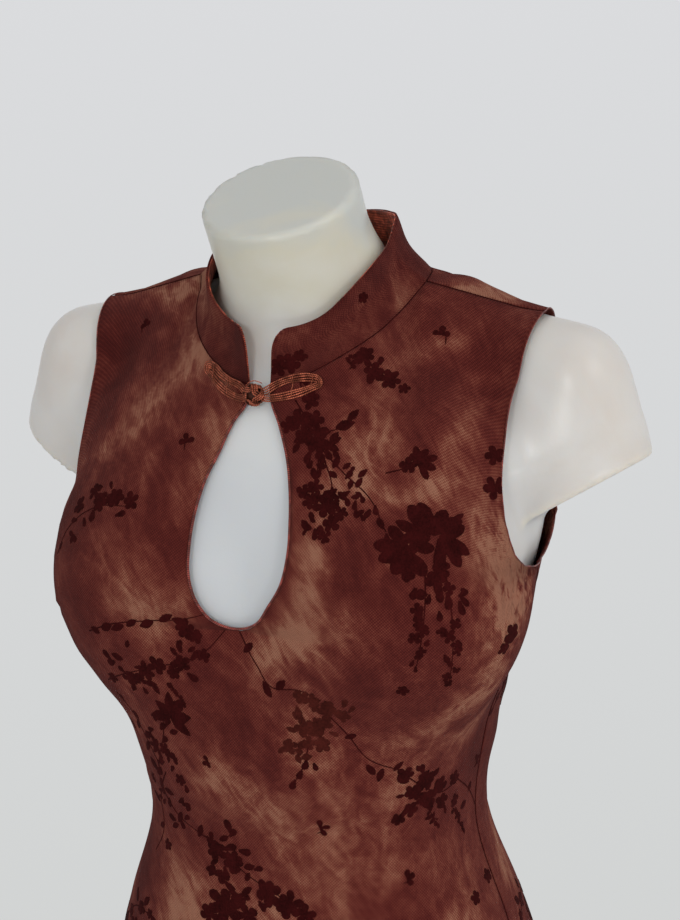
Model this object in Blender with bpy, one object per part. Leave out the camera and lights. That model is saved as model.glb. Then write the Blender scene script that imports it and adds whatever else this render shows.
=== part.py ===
"""Sleeveless cheongsam dress on a limbless dress form, on a pole and a round floor plate.

Metres, +Z up. The wearer faces -Y and the wearer's left is +X. The origin is on the floor,
under the middle of the plate. Every cloth piece is a closed wall laid round the form.
"""
import math

import bmesh
import bpy
import numpy as np
from mathutils import Vector
from mathutils.bvhtree import BVHTree

# Cloth
WALL = 0.0015                 # dress cloth
FACING_WALL = 0.0010          # inner layer of the collar
CLEARANCE = 0.0020            # inside of the cloth to the form, where it lies closest
SEAM_GAP = 0.0003             # between neighbouring pieces
OUTER = CLEARANCE + WALL      # outside of the cloth to the form

# Dress heights
HEM = 0.400
SLIT_TOP = 0.640
SLIT_OPENING = 0.006          # how far each slit edge stands back at the hem
UNDERARM = 1.2665

# Dress form and stand
FORM_BOTTOM = 0.785
NECK_CAP = (0.0, -0.0412, 1.4907)
NECK_CAP_TILT = math.radians(26.4)
PLATE_RADIUS = 0.190
PLATE_THICKNESS = 0.008
POLE_RADIUS = 0.015
FLANGE_RADIUS = 0.050
FLANGE_THICKNESS = 0.006
SOCKET_RADIUS = 0.026
SOCKET_HEIGHT = 0.046
SOCKET_GAP = 0.0005
POLE_FOOT_GAP = 0.001
PLATE_BEVEL = 0.002

# The figure in level sections: height, half width, front depth, back depth, squareness
SECTIONS = (
    (0.36, 0.160, 0.108, 0.112, 2.20),
    (0.60, 0.166, 0.110, 0.120, 2.20),
    (0.78, 0.172, 0.106, 0.132, 2.20),
    (0.89, 0.166, 0.099, 0.139, 2.20),
    (0.97, 0.1445, 0.0955, 0.1275, 2.25),
    (1.03, 0.126, 0.0935, 0.106, 2.35),
    (1.10, 0.104, 0.095, 0.080, 2.42),
    (1.15, 0.1095, 0.105, 0.083, 2.46),
    (1.20, 0.1225, 0.1045, 0.0945, 2.35),
    (1.25, 0.138, 0.1015, 0.104, 2.29),
    (1.30, 0.148, 0.0945, 0.108, 2.26),
    (1.35, 0.144, 0.082, 0.104, 2.14),
    (1.39, 0.104, 0.062, 0.087, 1.70),
    (1.42, 0.063, 0.040, 0.060, 1.70),
    (1.46, 0.033, 0.024, 0.033, 1.77),
)
# Rounded masses that soften into the sections, on the wearer's left; the right mirrors them
BUST_CENTRE, BUST_RADII = (0.078, -0.052, 1.247), (0.0725, 0.058, 0.070)
ARM_CENTRE, ARM_RADII = (0.1655, 0.014, 1.3155), (0.052, 0.039, 0.0845)
ARM_CUT = ((0.150, 1.2958), (0.2155, 1.3338))              # (x, z) of the flat cut under each cap
SHOULDER_INNER, SHOULDER_INNER_RADIUS = (0.0525, 0.032, 1.402), 0.0345
SHOULDER_OUTER, SHOULDER_OUTER_RADIUS = (0.1685, 0.0135, 1.3825), 0.028
NECK_BASE, NECK_BASE_RADIUS = (0.0, 0.016, 1.3865), 0.0486
NECK_TOP_RADIUS = 0.0488
ARM_BLEND, SHOULDER_BLEND = 0.022, 0.030
SIDE_SOFTENING = 0.012                                     # where front turns into back
FORM_BLENDS = {"bust": 0.030, "neck": 0.028}
CLOTH_BLENDS = {"bust": 0.040, "neck": 0.045}              # cloth bridges the hollows

# Edges of the garment on the wearer's left: x, y, z
NECKLINE_FRONT = (
    (0.0075, -0.0745, 1.3800),
    (0.0200, -0.0710, 1.3825),
    (0.0330, -0.0610, 1.3880),
    (0.0450, -0.0490, 1.3950),
    (0.0569, -0.0347, 1.4050),
    (0.0650, -0.0236, 1.4150),
    (0.0725, -0.0105, 1.4265),
    (0.0780, 0.0006, 1.4365),
)
NECKLINE_BACK = (
    (0.0780, 0.0006, 1.4365),
    (0.0745, 0.0180, 1.4410),
    (0.0620, 0.0360, 1.4420),
    (0.0360, 0.0520, 1.4360),
    (0.0000, 0.0580, 1.4330),
)
COLLAR_TOP = (
    (0.0107, -0.0750, 1.4140),
    (0.0212, -0.0645, 1.4150),
    (0.0329, -0.0573, 1.4200),
    (0.0443, -0.0510, 1.4300),
    (0.0517, -0.0415, 1.4400),
    (0.0563, -0.0272, 1.4500),
    (0.0570, -0.0088, 1.4595),
    (0.0560, 0.0040, 1.4700),
    (0.0535, 0.0135, 1.4750),
    (0.0430, 0.0265, 1.4765),
    (0.0310, 0.0375, 1.4765),
    (0.0000, 0.0460, 1.4745),
)
ARMHOLE_FRONT = (
    (0.1500, 0.0000, 1.2665),
    (0.1520, -0.0200, 1.2690),
    (0.1520, -0.0340, 1.2730),
    (0.1500, -0.0430, 1.2830),
    (0.1470, -0.0490, 1.3000),
    (0.1448, -0.0480, 1.3225),
    (0.1434, -0.0393, 1.3475),
    (0.1436, -0.0273, 1.3725),
    (0.1480, -0.0086, 1.3975),
    (0.1506, 0.0132, 1.4169),
)
ARMHOLE_BACK = (
    (0.1500, 0.0000, 1.2665),
    (0.1475, 0.0180, 1.2680),
    (0.1410, 0.0360, 1.2780),
    (0.1350, 0.0520, 1.2960),
    (0.1310, 0.0640, 1.3230),
    (0.1290, 0.0660, 1.3520),
    (0.1340, 0.0560, 1.3820),
    (0.1430, 0.0360, 1.4040),
    (0.1506, 0.0132, 1.4169),
)
# Clear opening of the keyhole: height, x of the wearer's right edge, x of the left edge
KEYHOLE = (
    (1.2377, -0.0030, -0.0030),
    (1.2423, -0.0186, 0.0100),
    (1.2530, -0.0267, 0.0190),
    (1.2680, -0.0317, 0.0280),
    (1.2860, -0.0327, 0.0312),
    (1.3045, -0.0318, 0.0299),
    (1.3235, -0.0278, 0.0270),
    (1.3400, -0.0204, 0.0232),
    (1.3580, -0.0133, 0.0155),
    (1.3700, -0.0062, 0.0085),
)

ARMHOLE_SPARE = 0.0010        # armhole edges stand a little off the body

# Stand collar
COLLAR_CORNER = 0.009         # run of the rounded front corner along the collar
COLLAR_CORNER_DROP = 0.28     # share of the height that the front edge lacks
COLLAR_DIP = 0.003            # how far the band hollows between its edges
COLLAR_DIP_START = 0.030
COLLAR_SPARE = 0.0004         # kept between the layers and the neck beside the usual clearance
COLLAR_ROWS = (0.0, 0.04, 0.26, 0.50, 0.75, 0.965, 1.0)
FACING_ROWS = slice(1, -1)    # the facing stops short of the collar's seam and top edge
CORNER_STEPS = (0.12, 0.30, 0.52, 0.75)                    # extra columns near the front edge

# Trimmings
BINDING_RADIUS = 0.0011
BINDING_END = 0.80            # share of the last step to the throat that the binding covers
CORD_RADIUS = 0.0006
CORDS_IN_A_LOOP = 3
KNOT_RADIUS = 0.0062
KNOT_DEPTH = 0.0048           # half the ball's measure from front to back
KNOT_RELIEF = 0.0004
KNOT_PLACE = (-0.0010, 1.3745)                             # (x, z) of the ball's middle
WEAVE_TURNS, WEAVE_RISE = 3, 5                             # how the ball's cords cross
LOOP_LIFT = 0.0032            # how far the loops rise off the cloth to meet the ball
LOOP_LIFT_LENGTH = 0.0110     # how far from the ball the rise starts
# Middle lines of the frog's loops from the knot out and back: x, z
FROG_LOOP_LEFT = (
    (0.0062, 1.3768),
    (0.0110, 1.3802),
    (0.0180, 1.3834),
    (0.0260, 1.3850),
    (0.0325, 1.3850),
    (0.0370, 1.3838),
    (0.0378, 1.3815),
    (0.0345, 1.3797),
    (0.0280, 1.3770),
    (0.0200, 1.3747),
    (0.0120, 1.3732),
    (0.0062, 1.3727),
)
FROG_LOOP_RIGHT = (
    (-0.0082, 1.3772),
    (-0.0118, 1.3790),
    (-0.0195, 1.3812),
    (-0.0275, 1.3845),
    (-0.0345, 1.3885),
    (-0.0388, 1.3893),
    (-0.0392, 1.3862),
    (-0.0350, 1.3832),
    (-0.0290, 1.3790),
    (-0.0220, 1.3752),
    (-0.0150, 1.3728),
    (-0.0082, 1.3722),
)

BINDING_GAP = 0.0006          # between the binding and the panel's edge
PANEL_BESIDE_KEYHOLE = BINDING_RADIUS * 2 + BINDING_GAP
KEYHOLE_EASE = 0.0005         # cut a little lower, as the lowest point is beside the middle
KEYHOLE_CUT = KEYHOLE[0][0] - PANEL_BESIDE_KEYHOLE - KEYHOLE_EASE

# Fineness of the solids
RING_SAMPLES = 49
COLUMNS_TO_NECK = 7           # of a half panel, under the neckline
COLUMNS_TO_SHOULDER = 4       # of a half panel, under the shoulder seam
ROWS_TO_UNDERARM = 2
ROWS_TO_SHOULDER = 13
LOWER_ROWS = (
    HEM, 0.47, 0.54, 0.61, 0.68, 0.74, 0.79, 0.83, 0.865, 0.90, 0.94, 0.98, 1.02, 1.06, 1.09, 1.12,
    1.155, 1.185, 1.211, KEYHOLE_CUT,
)
SMOOTHING_PASSES = 4
EASE_POWER = 4                # how soon cloth lies close again beside an edge that stands off
BINDING_SIDES = 6
LOOP_STEPS = 26
KNOT_RINGS = 12
KNOT_SEGMENTS = 20
FORM_VOXEL = 0.018
FORM_PASSES = 3
ROUGH_CUBE = 0.006
RIM_REACH = 0.0085            # how near the arm rim a point of the form is drawn onto it
RIM_START = 0.166             # the rim is clear of the body beyond this x
CUT_MERGE = 0.0001
FORM_BOX = ((-0.24, -0.15, 0.70), (0.24, 0.17, 1.53))

DENSE_SAMPLES = 120           # of a smooth line before its steps are read off
THROAT_PULL = 8               # how late the keyhole's edge bends to the neckline's end

# Laying points on the figure
SLOPE_STEP = 0.0001
LONGEST_MOVE = 0.03
LAYING_PASSES = 18
START_RADIUS = 0.12           # where level lines start before they are drawn in

# Colours
NET_COLOUR = (0.16, 0.040, 0.028)
RUST_COLOUR = (0.30, 0.075, 0.030)
COPPER_COLOUR = (0.26, 0.080, 0.045)

section_table = np.array(SECTIONS)


# --- The figure ---------------------------------------------------------------------------

def smooth_through(knots, values, at):
    """A smooth curve through a table's values, read at any place between its knots."""
    steps = np.diff(knots)
    slopes = np.diff(values) / steps
    tangents = np.empty_like(values)
    tangents[1:-1] = (slopes[:-1] * steps[1:] + slopes[1:] * steps[:-1]) / (knots[2:] - knots[:-2])
    tangents[0] = slopes[0]
    tangents[-1] = slopes[-1]
    at = np.clip(at, knots[0], knots[-1])
    low = np.clip(np.searchsorted(knots, at) - 1, 0, len(knots) - 2)
    step = steps[low]
    s = (at - knots[low]) / step
    return (
        (1 + 2 * s) * (1 - s) ** 2 * values[low]
        + s * (1 - s) ** 2 * step * tangents[low]
        + s * s * (3 - 2 * s) * values[low + 1]
        + s * s * (s - 1) * step * tangents[low + 1]
    )


def soft_union(a, b, reach):
    share = np.clip(0.5 + 0.5 * (b - a) / reach, 0, 1)
    return b + (a - b) * share - reach * share * (1 - share)


def ellipsoid(points, centre, radii):
    offset = (points - np.array(centre)) / np.array(radii)
    size = np.linalg.norm(offset, axis=1)
    steepness = np.linalg.norm(offset / np.array(radii), axis=1)
    return size * (size - 1) / np.maximum(steepness, 1e-9)


def cone(points, start, end, start_radius, end_radius, low=0.0, high=1.0):
    start = np.array(start)
    axis = np.array(end) - start
    along = np.clip((points - start) @ axis / (axis @ axis), low, high)
    away = np.linalg.norm(points - start - along[:, None] * axis, axis=1)
    return away - (start_radius + (end_radius - start_radius) * along)


def arm_cut_height(points):
    """Above nought on the cut-away side of the flat face under each shoulder cap."""
    (x0, z0), (x1, z1) = ARM_CUT
    run, rise = x1 - x0, z1 - z0
    return ((np.abs(points[:, 0]) - x0) * rise - (points[:, 2] - z0) * run) / math.hypot(run, rise)


def figure(points, blends):
    """Nought on the figure's skin, above nought outside it."""
    mirrored = points.copy()
    mirrored[:, 0] = np.abs(mirrored[:, 0])
    x, y, z = mirrored.T
    heights = section_table[:, 0]
    width, front, back, squareness = (
        smooth_through(heights, section_table[:, column], z) for column in (1, 2, 3, 4)
    )
    depth = front + (back - front) * (0.5 + 0.5 * np.tanh(y / SIDE_SOFTENING))
    reach = ((x / width) ** squareness + (np.abs(y) / depth) ** squareness) ** (1 / squareness)
    skin = (reach - 1) * depth + np.maximum(z - heights[-1], 0)
    skin = soft_union(skin, ellipsoid(mirrored, BUST_CENTRE, BUST_RADII), blends["bust"])
    shoulder = cone(
        mirrored, SHOULDER_INNER, SHOULDER_OUTER, SHOULDER_INNER_RADIUS, SHOULDER_OUTER_RADIUS
    )
    skin = soft_union(skin, shoulder, SHOULDER_BLEND)
    arm = np.maximum(ellipsoid(mirrored, ARM_CENTRE, ARM_RADII), arm_cut_height(mirrored))
    skin = soft_union(skin, arm, ARM_BLEND)
    neck = cone(mirrored, NECK_BASE, NECK_CAP, NECK_BASE_RADIUS, NECK_TOP_RADIUS, -0.2, 1.6)
    return soft_union(skin, neck, blends["neck"])


def distance_and_normal(points, blends):
    """The distance of each point from the figure, and the way that leads off it."""
    slope = np.stack(
        [
            figure(points + offset, blends) - figure(points - offset, blends)
            for offset in np.eye(3) * SLOPE_STEP
        ],
        axis=1,
    ) / (2 * SLOPE_STEP)
    steepness = np.maximum(np.linalg.norm(slope, axis=1), 1e-6)
    return figure(points, blends) / steepness, slope / steepness[:, None]


def lay(points, offset=OUTER, blends=CLOTH_BLENDS):
    """Moves points straight off or onto the figure until they lie offset from it."""
    points = np.array(points, float)
    for _ in range(LAYING_PASSES):
        away, normal = distance_and_normal(points, blends)
        points += normal * np.clip(offset - away, -LONGEST_MOVE, LONGEST_MOVE)[:, None]
    return points


def slide(points, directions, offset=OUTER):
    """Moves points only along the given directions until they lie offset from the figure."""
    points = np.array(points, float)
    for _ in range(LAYING_PASSES):
        away, normal = distance_and_normal(points, CLOTH_BLENDS)
        facing = np.maximum(np.sum(normal * directions, axis=1), 0.2)
        move = np.clip((offset - away) / facing, -LONGEST_MOVE, LONGEST_MOVE)
        points += directions * move[:, None]
    return points


def stand_off(points):
    """How far points lie beyond the closest place that the cloth may take."""
    away, _ = distance_and_normal(np.array(points, float), CLOTH_BLENDS)
    return np.maximum(away - OUTER, 0)


def settle(points, spare=0.0):
    """Keeps an edge where it is, but pushes it out of the figure where it would touch."""
    return lay(points, OUTER + np.maximum(stand_off(points), spare))


# --- Lines --------------------------------------------------------------------------------

def arc_lengths(points):
    return np.concatenate(([0.0], np.cumsum(np.linalg.norm(np.diff(points, axis=0), axis=1))))


def at_fractions(points, fractions):
    lengths = arc_lengths(points)
    places = np.array(fractions) * lengths[-1]
    return np.stack([np.interp(places, lengths, points[:, axis]) for axis in range(3)], axis=1)


def smooth_line(table, samples=DENSE_SAMPLES):
    """A dense smooth line through a table's points."""
    knots = np.array(table, float)
    lengths = arc_lengths(knots)
    at = np.linspace(0, lengths[-1], samples)
    return np.stack([smooth_through(lengths, knots[:, axis], at) for axis in range(3)], axis=1)


def on_side(points, side):
    """A line given for the wearer's left (side 1), or its mirror image (side -1)."""
    return np.array(points, float) * np.array((side, 1.0, 1.0))


def slit_opening(height):
    return SLIT_OPENING * np.clip((SLIT_TOP - height) / (SLIT_TOP - HEM), 0, 1)


def ring(height, side, face, fractions):
    """A level line on a panel from its middle to its side seam; face is -1 front, 1 back."""
    turns = np.linspace(0, math.pi / 2, RING_SAMPLES)
    directions = np.stack(
        [side * np.sin(turns), face * np.cos(turns), np.zeros_like(turns)], axis=1
    )
    directions[0, 0] = 0.0
    start = directions * START_RADIUS
    start[:, 2] = height
    line = slide(start, directions)
    edge = SEAM_GAP / 2 + slit_opening(height)
    cut = np.interp(edge, (face * line[:, 1])[::-1], np.arange(RING_SAMPLES)[::-1])
    whole = int(cut)
    last = line[whole] + (line[min(whole + 1, RING_SAMPLES - 1)] - line[whole]) * (cut - whole)
    return at_fractions(np.vstack([line[:whole + 1], last]), fractions)


def keyhole_edge(side, spacing):
    """The keyhole's edge from its lowest point up to the throat, moved outwards by spacing."""
    table = np.array(KEYHOLE)
    column = 2 if side > 0 else 1
    throat = NECKLINE_FRONT[0]
    flat = [(x, z) for z, x in zip(table[:, 0], table[:, column])]
    flat.append((side * (throat[0] - PANEL_BESIDE_KEYHOLE), throat[2]))
    flat = np.array([(x, 0.0, z) for x, z in flat])
    line = smooth_line(flat)
    run = np.gradient(line, axis=0)
    run /= np.linalg.norm(run, axis=1)[:, None]
    outwards = np.stack([run[:, 2], np.zeros(len(run)), -run[:, 0]], axis=1) * side
    moved = line + outwards * spacing
    moved[0, 0] = line[0, 0]
    moved[:, 1] = -START_RADIUS
    return slide(moved, np.tile((0.0, -1.0, 0.0), (len(moved), 1)))


# --- Building meshes ----------------------------------------------------------------------

def material(name, colour, roughness, metallic=0.0):
    made = bpy.data.materials.new(name)
    made.use_nodes = True
    shader = made.node_tree.nodes["Principled BSDF"]
    shader.inputs["Base Color"].default_value = (*colour, 1.0)
    shader.inputs["Roughness"].default_value = roughness
    shader.inputs["Metallic"].default_value = metallic
    return made


def add_object(name, mesh, made_material, smooth_angle=40.0):
    thing = bpy.data.objects.new(name, mesh)
    bpy.context.scene.collection.objects.link(thing)
    mesh.materials.append(made_material)
    mesh.shade_smooth()
    mesh.set_sharp_from_angle(angle=math.radians(smooth_angle))
    return thing


def closed_mesh(name, vertices, faces):
    """A mesh with its doubled points joined and every face turned outwards."""
    work = bmesh.new()
    made = [work.verts.new(tuple(vertex)) for vertex in vertices]
    for face in faces:
        work.faces.new([made[index] for index in face])
    bmesh.ops.remove_doubles(work, verts=work.verts, dist=1e-6)
    bmesh.ops.recalc_face_normals(work, faces=work.faces)
    mesh = bpy.data.meshes.new(name)
    work.to_mesh(mesh)
    work.free()
    return mesh


def grid_faces(rows, columns, start=0):
    return [
        (
            start + row * columns + column,
            start + row * columns + column + 1,
            start + (row + 1) * columns + column + 1,
            start + (row + 1) * columns + column,
        )
        for row in range(rows - 1)
        for column in range(columns - 1)
    ]


def welded(grids):
    """Joins grids of points that share an edge into one list of points and faces."""
    points = []
    faces = []
    index_of = {}
    for grid in grids:
        rows, columns = grid.shape[:2]
        numbers = []
        for point in grid.reshape(-1, 3):
            key = tuple(np.round(point, 6))
            if key not in index_of:
                index_of[key] = len(points)
                points.append(point)
            numbers.append(index_of[key])
        faces += [tuple(numbers[i] for i in face) for face in grid_faces(rows, columns)]
    return np.array(points), faces


def split(points, faces):
    """Four-cornered faces as triangles, cut along the shorter diagonal."""
    triangles = []
    for a, b, c, d in faces:
        if np.linalg.norm(points[a] - points[c]) <= np.linalg.norm(points[b] - points[d]):
            triangles += [(a, b, c), (a, c, d)]
        else:
            triangles += [(a, b, d), (b, c, d)]
    return triangles


def wall_between(name, outside, inside, faces):
    """A closed wall from two matching skins: the faces, their copies inside, and the rims."""
    count = len(outside)
    rims = {}
    for face in faces:
        for i, first in enumerate(face):
            second = face[(i + 1) % len(face)]
            if (second, first) in rims:
                del rims[(second, first)]
            elif (first, second) in rims:
                del rims[(first, second)]
            else:
                rims[(first, second)] = True
    all_faces = list(faces)
    all_faces += [tuple(index + count for index in reversed(face)) for face in faces]
    all_faces += [(second, first, first + count, second + count) for first, second in rims]
    return closed_mesh(name, np.vstack([outside, inside]), all_faces)


def sweep(name, path, outwards, profile):
    """A closed bar along a path; each profile row is (across, outwards)."""
    along = np.gradient(path, axis=0)
    along /= np.linalg.norm(along, axis=1)[:, None]
    across = np.cross(along, outwards)
    across /= np.linalg.norm(across, axis=1)[:, None]
    up = np.cross(across, along)
    sides = len(profile)
    vertices = [
        path[i] + across[i] * a + up[i] * b for i in range(len(path)) for a, b in profile
    ]
    faces = [
        (i * sides + j, i * sides + (j + 1) % sides, (i + 1) * sides + (j + 1) % sides, (i + 1) * sides + j)
        for i in range(len(path) - 1)
        for j in range(sides)
    ]
    faces.append(tuple(range(sides)))
    faces.append(tuple((len(path) - 1) * sides + j for j in range(sides)))
    return closed_mesh(name, vertices, faces)


def turned(name, outline, segments=40):
    """A body turned round the Z axis from (radius, height) rows; its ends are on the axis."""
    work = bmesh.new()
    points = [work.verts.new((radius, 0.0, height)) for radius, height in outline]
    edges = [work.edges.new(pair) for pair in zip(points, points[1:])]
    bmesh.ops.spin(
        work, geom=points + edges, cent=(0, 0, 0), axis=(0, 0, 1), angle=2 * math.pi, steps=segments
    )
    bmesh.ops.remove_doubles(work, verts=work.verts, dist=1e-6)
    bmesh.ops.recalc_face_normals(work, faces=work.faces)
    mesh = bpy.data.meshes.new(name)
    work.to_mesh(mesh)
    work.free()
    return mesh


# --- The garment --------------------------------------------------------------------------

def shoulder_seam(side, face):
    """The shoulder seam's edge on one panel, from the neck to the arm."""
    ends = np.array((NECKLINE_FRONT[-1], ARMHOLE_FRONT[-1]))
    seam = settle(on_side(smooth_line(ends), side))
    _, normal = distance_and_normal(seam, CLOTH_BLENDS)
    towards_back = np.cross(normal, np.gradient(seam, axis=0)) * side
    towards_back /= np.linalg.norm(towards_back, axis=1)[:, None]
    return seam + towards_back * (face * SEAM_GAP / 2)


def upper_patch(bottom, centre, outer, top):
    """Cloth between four edges, laid on the figure and easing out to edges that stand off."""
    rows, columns = len(centre), len(bottom)
    across = np.linspace(0, 1, columns)[None, :, None]
    up = np.linspace(0, 1, rows)[:, None, None]
    grid = (1 - up) * bottom[None] + up * top[None]
    grid = grid + (1 - across) * centre[:, None] + across * outer[:, None]
    grid -= (1 - up) * ((1 - across) * bottom[0] + across * bottom[-1])
    grid -= up * ((1 - across) * top[0] + across * top[-1])
    ease = np.maximum(
        (1 - across[..., 0]) ** EASE_POWER * stand_off(centre)[:, None],
        across[..., 0] ** EASE_POWER * stand_off(outer)[:, None],
    )
    ease = np.maximum(ease, up[..., 0] ** EASE_POWER * stand_off(top)[None, :])
    inner = (slice(1, rows - 1), slice(1, columns - 1))
    for _ in range(SMOOTHING_PASSES):
        level = grid[1:-1, :-2] + grid[1:-1, 2:] + grid[:-2, 1:-1] + grid[2:, 1:-1]
        grid[inner] = 0.5 * grid[inner] + 0.125 * level
        laid = lay(grid[inner].reshape(-1, 3), OUTER + ease[inner].reshape(-1))
        grid[inner] = laid.reshape(grid[inner].shape)
    return grid


def half_panel(side, face):
    """Points of half a panel, from the hem to the neck and shoulder, on the cloth's outside."""
    columns = COLUMNS_TO_NECK + COLUMNS_TO_SHOULDER
    fractions = np.linspace(0, 1, columns + 1)
    lower = np.array([ring(height, side, face, fractions) for height in LOWER_ROWS])

    rows = ROWS_TO_UNDERARM + ROWS_TO_SHOULDER
    armhole_table = ARMHOLE_FRONT if face < 0 else ARMHOLE_BACK
    neckline_table = NECKLINE_FRONT if face < 0 else NECKLINE_BACK[::-1]
    neckline = settle(on_side(smooth_line(neckline_table), side))
    shoulder = shoulder_seam(side, face)
    neckline[-1] = shoulder[0]
    side_heights = np.linspace(KEYHOLE_CUT, UNDERARM, ROWS_TO_UNDERARM + 1)
    side_seam = np.array([ring(height, side, face, (1.0,))[0] for height in side_heights])
    armhole = settle(on_side(smooth_line(armhole_table), side), ARMHOLE_SPARE)
    armhole[0] = side_seam[-1]
    armhole[-1] = shoulder[-1]
    outer = np.vstack([
        side_seam[:-1],
        at_fractions(armhole, np.linspace(0, 1, ROWS_TO_SHOULDER + 1)),
    ])
    top = np.vstack([
        at_fractions(neckline, np.linspace(0, 1, COLUMNS_TO_NECK + 1))[:-1],
        at_fractions(shoulder, np.linspace(0, 1, COLUMNS_TO_SHOULDER + 1)),
    ])
    if face < 0:
        centre_line = keyhole_edge(side, PANEL_BESIDE_KEYHOLE)
        centre_line[0] = lower[-1, 0]
        reach = np.linspace(0, 1, len(centre_line)) ** THROAT_PULL
        centre_line += reach[:, None] * (top[0] - centre_line[-1])
    else:
        heights = np.linspace(KEYHOLE_CUT, top[0, 2], DENSE_SAMPLES)
        start = np.stack([0 * heights, 0 * heights + START_RADIUS, heights], axis=1)
        centre_line = slide(start, np.tile((0.0, 1.0, 0.0), (DENSE_SAMPLES, 1)))
        centre_line[0] = lower[-1, 0]
        centre_line[-1] = top[0]
    centre = at_fractions(centre_line, np.linspace(0, 1, rows + 1))
    upper = upper_patch(lower[-1], centre, outer, top)
    return np.concatenate([lower, upper[1:]])


def panel(name, face, made_material):
    grids = [half_panel(side, face) for side in (1, -1)]
    points, faces = welded(grids)
    _, normal = distance_and_normal(points, CLOTH_BLENDS)
    mesh = wall_between(name, points, points - normal * WALL, split(points, faces))
    return add_object(name, mesh, made_material)


def collar_skin():
    """Half the stand collar's outer skin, front edge to middle of the back, and its normals."""
    steps = np.linspace(0, 1, COLUMNS_TO_NECK + 1)
    base = np.vstack([
        at_fractions(settle(smooth_line(table)), steps)[:count]
        for table, count in ((NECKLINE_FRONT, -1), (NECKLINE_BACK, None))
    ])
    _, panel_normal = distance_and_normal(base, CLOTH_BLENDS)
    along = np.gradient(base, axis=0)
    towards_neck = np.cross(panel_normal, along)
    towards_neck /= np.linalg.norm(towards_neck, axis=1)[:, None]
    base = base + towards_neck * SEAM_GAP
    base[-1, 0] = 0.0
    lengths = arc_lengths(base)
    from_front = np.sort(np.concatenate([lengths, np.array(CORNER_STEPS) * lengths[1]]))
    base = at_fractions(base, from_front / lengths[-1])
    top = at_fractions(smooth_line(COLLAR_TOP), from_front / lengths[-1])

    short_of_corner = np.clip(1 - from_front / COLLAR_CORNER, 0, 1)
    height = 1 - COLLAR_CORNER_DROP * (1 - np.sqrt(1 - short_of_corner ** 2))
    up = np.array(COLLAR_ROWS)[:, None] * height[None, :]
    grid = base[None] + (top - base)[None] * up[..., None]
    dip = COLLAR_DIP * (4 * up * (1 - up)) ** 2 * np.clip(from_front / COLLAR_DIP_START, 0, 1)
    grid -= grid_normals(grid) * dip[..., None]
    away, form_normal = distance_and_normal(grid.reshape(-1, 3), FORM_BLENDS)
    push = form_normal * np.maximum(OUTER + COLLAR_SPARE - away, 0)[:, None]
    grid += push.reshape(grid.shape)
    grid[:, -1, 0] = 0.0
    normal = grid_normals(grid)
    _, normal[0] = distance_and_normal(base, CLOTH_BLENDS)
    return grid, normal


def grid_normals(grid):
    """Normals of a grid whose last column lies on the middle plane."""
    normal = np.cross(np.gradient(grid, axis=1), np.gradient(grid, axis=0))
    normal[:, -1, 0] = 0.0
    return normal / np.linalg.norm(normal, axis=2)[..., None]


def collar_layer(name, depth, thickness, rows, made_material):
    """One closed layer of the collar that starts at a depth inside its outer skin."""
    skin, normal = (grid[rows] for grid in collar_skin())
    outside = skin - normal * depth
    inside = outside - normal * thickness
    whole = [
        np.concatenate([half * (-1.0, 1.0, 1.0), half[:, -2::-1]], axis=1)
        for half in (outside, inside)
    ]
    skin_points = np.concatenate([skin * (-1.0, 1.0, 1.0), skin[:, -2::-1]], axis=1)
    faces = split(skin_points.reshape(-1, 3), grid_faces(*skin_points.shape[:2]))
    mesh = wall_between(name, whole[0].reshape(-1, 3), whole[1].reshape(-1, 3), faces)
    return add_object(name, mesh, made_material)


def keyhole_binding(made_material):
    """A rolled edge round the keyhole, open at the throat."""
    fractions = np.linspace(0, 1, ROWS_TO_UNDERARM + ROWS_TO_SHOULDER + 1)
    right, left = (at_fractions(keyhole_edge(side, BINDING_RADIUS), fractions) for side in (-1, 1))
    for half in (right, left):
        half[-1] = half[-2] + (half[-1] - half[-2]) * BINDING_END
    path = np.vstack([right[::-1], left[1:]])
    _, normal = distance_and_normal(path, CLOTH_BLENDS)
    path = path - normal * (WALL / 2)
    turns = np.linspace(0, 2 * math.pi, BINDING_SIDES, endpoint=False)
    profile = [(BINDING_RADIUS * math.cos(t), BINDING_RADIUS * math.sin(t)) for t in turns]
    mesh = sweep("keyhole_binding", path, normal, profile)
    return add_object("keyhole_binding", mesh, made_material, 60.0)


# --- The frog -----------------------------------------------------------------------------

def front_of(trees, x, z):
    """The foremost cloth within a loop's width of a place, seen from the front."""
    reach = CORD_RADIUS * CORDS_IN_A_LOOP
    found = []
    for step_x, step_z in ((0, 0), (reach, 0), (-reach, 0), (0, reach), (0, -reach)):
        for tree in trees:
            hit = tree.ray_cast(Vector((x + step_x, -0.3, z + step_z)), Vector((0, 1, 0)))
            if hit[0] is not None:
                found.append(hit[0].y)
    return min(found, default=NECKLINE_FRONT[0][1])


def loop_profile():
    """Cords side by side: (across, outwards) rows round the outside of the row of cords."""
    turns = np.linspace(0, math.pi, 4)[:-1]
    middles = [CORD_RADIUS * 2 * (i - (CORDS_IN_A_LOOP - 1) / 2) for i in range(CORDS_IN_A_LOOP)]
    upper = [
        (middle - CORD_RADIUS * math.cos(turn), CORD_RADIUS * math.sin(turn))
        for middle in middles
        for turn in turns
    ]
    last = middles[-1] + CORD_RADIUS
    lower = [(x, -CORD_RADIUS * 0.9) for x in (middles[-1], 0.0, middles[0])]
    return upper + [(last, 0.0)] + lower


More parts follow.
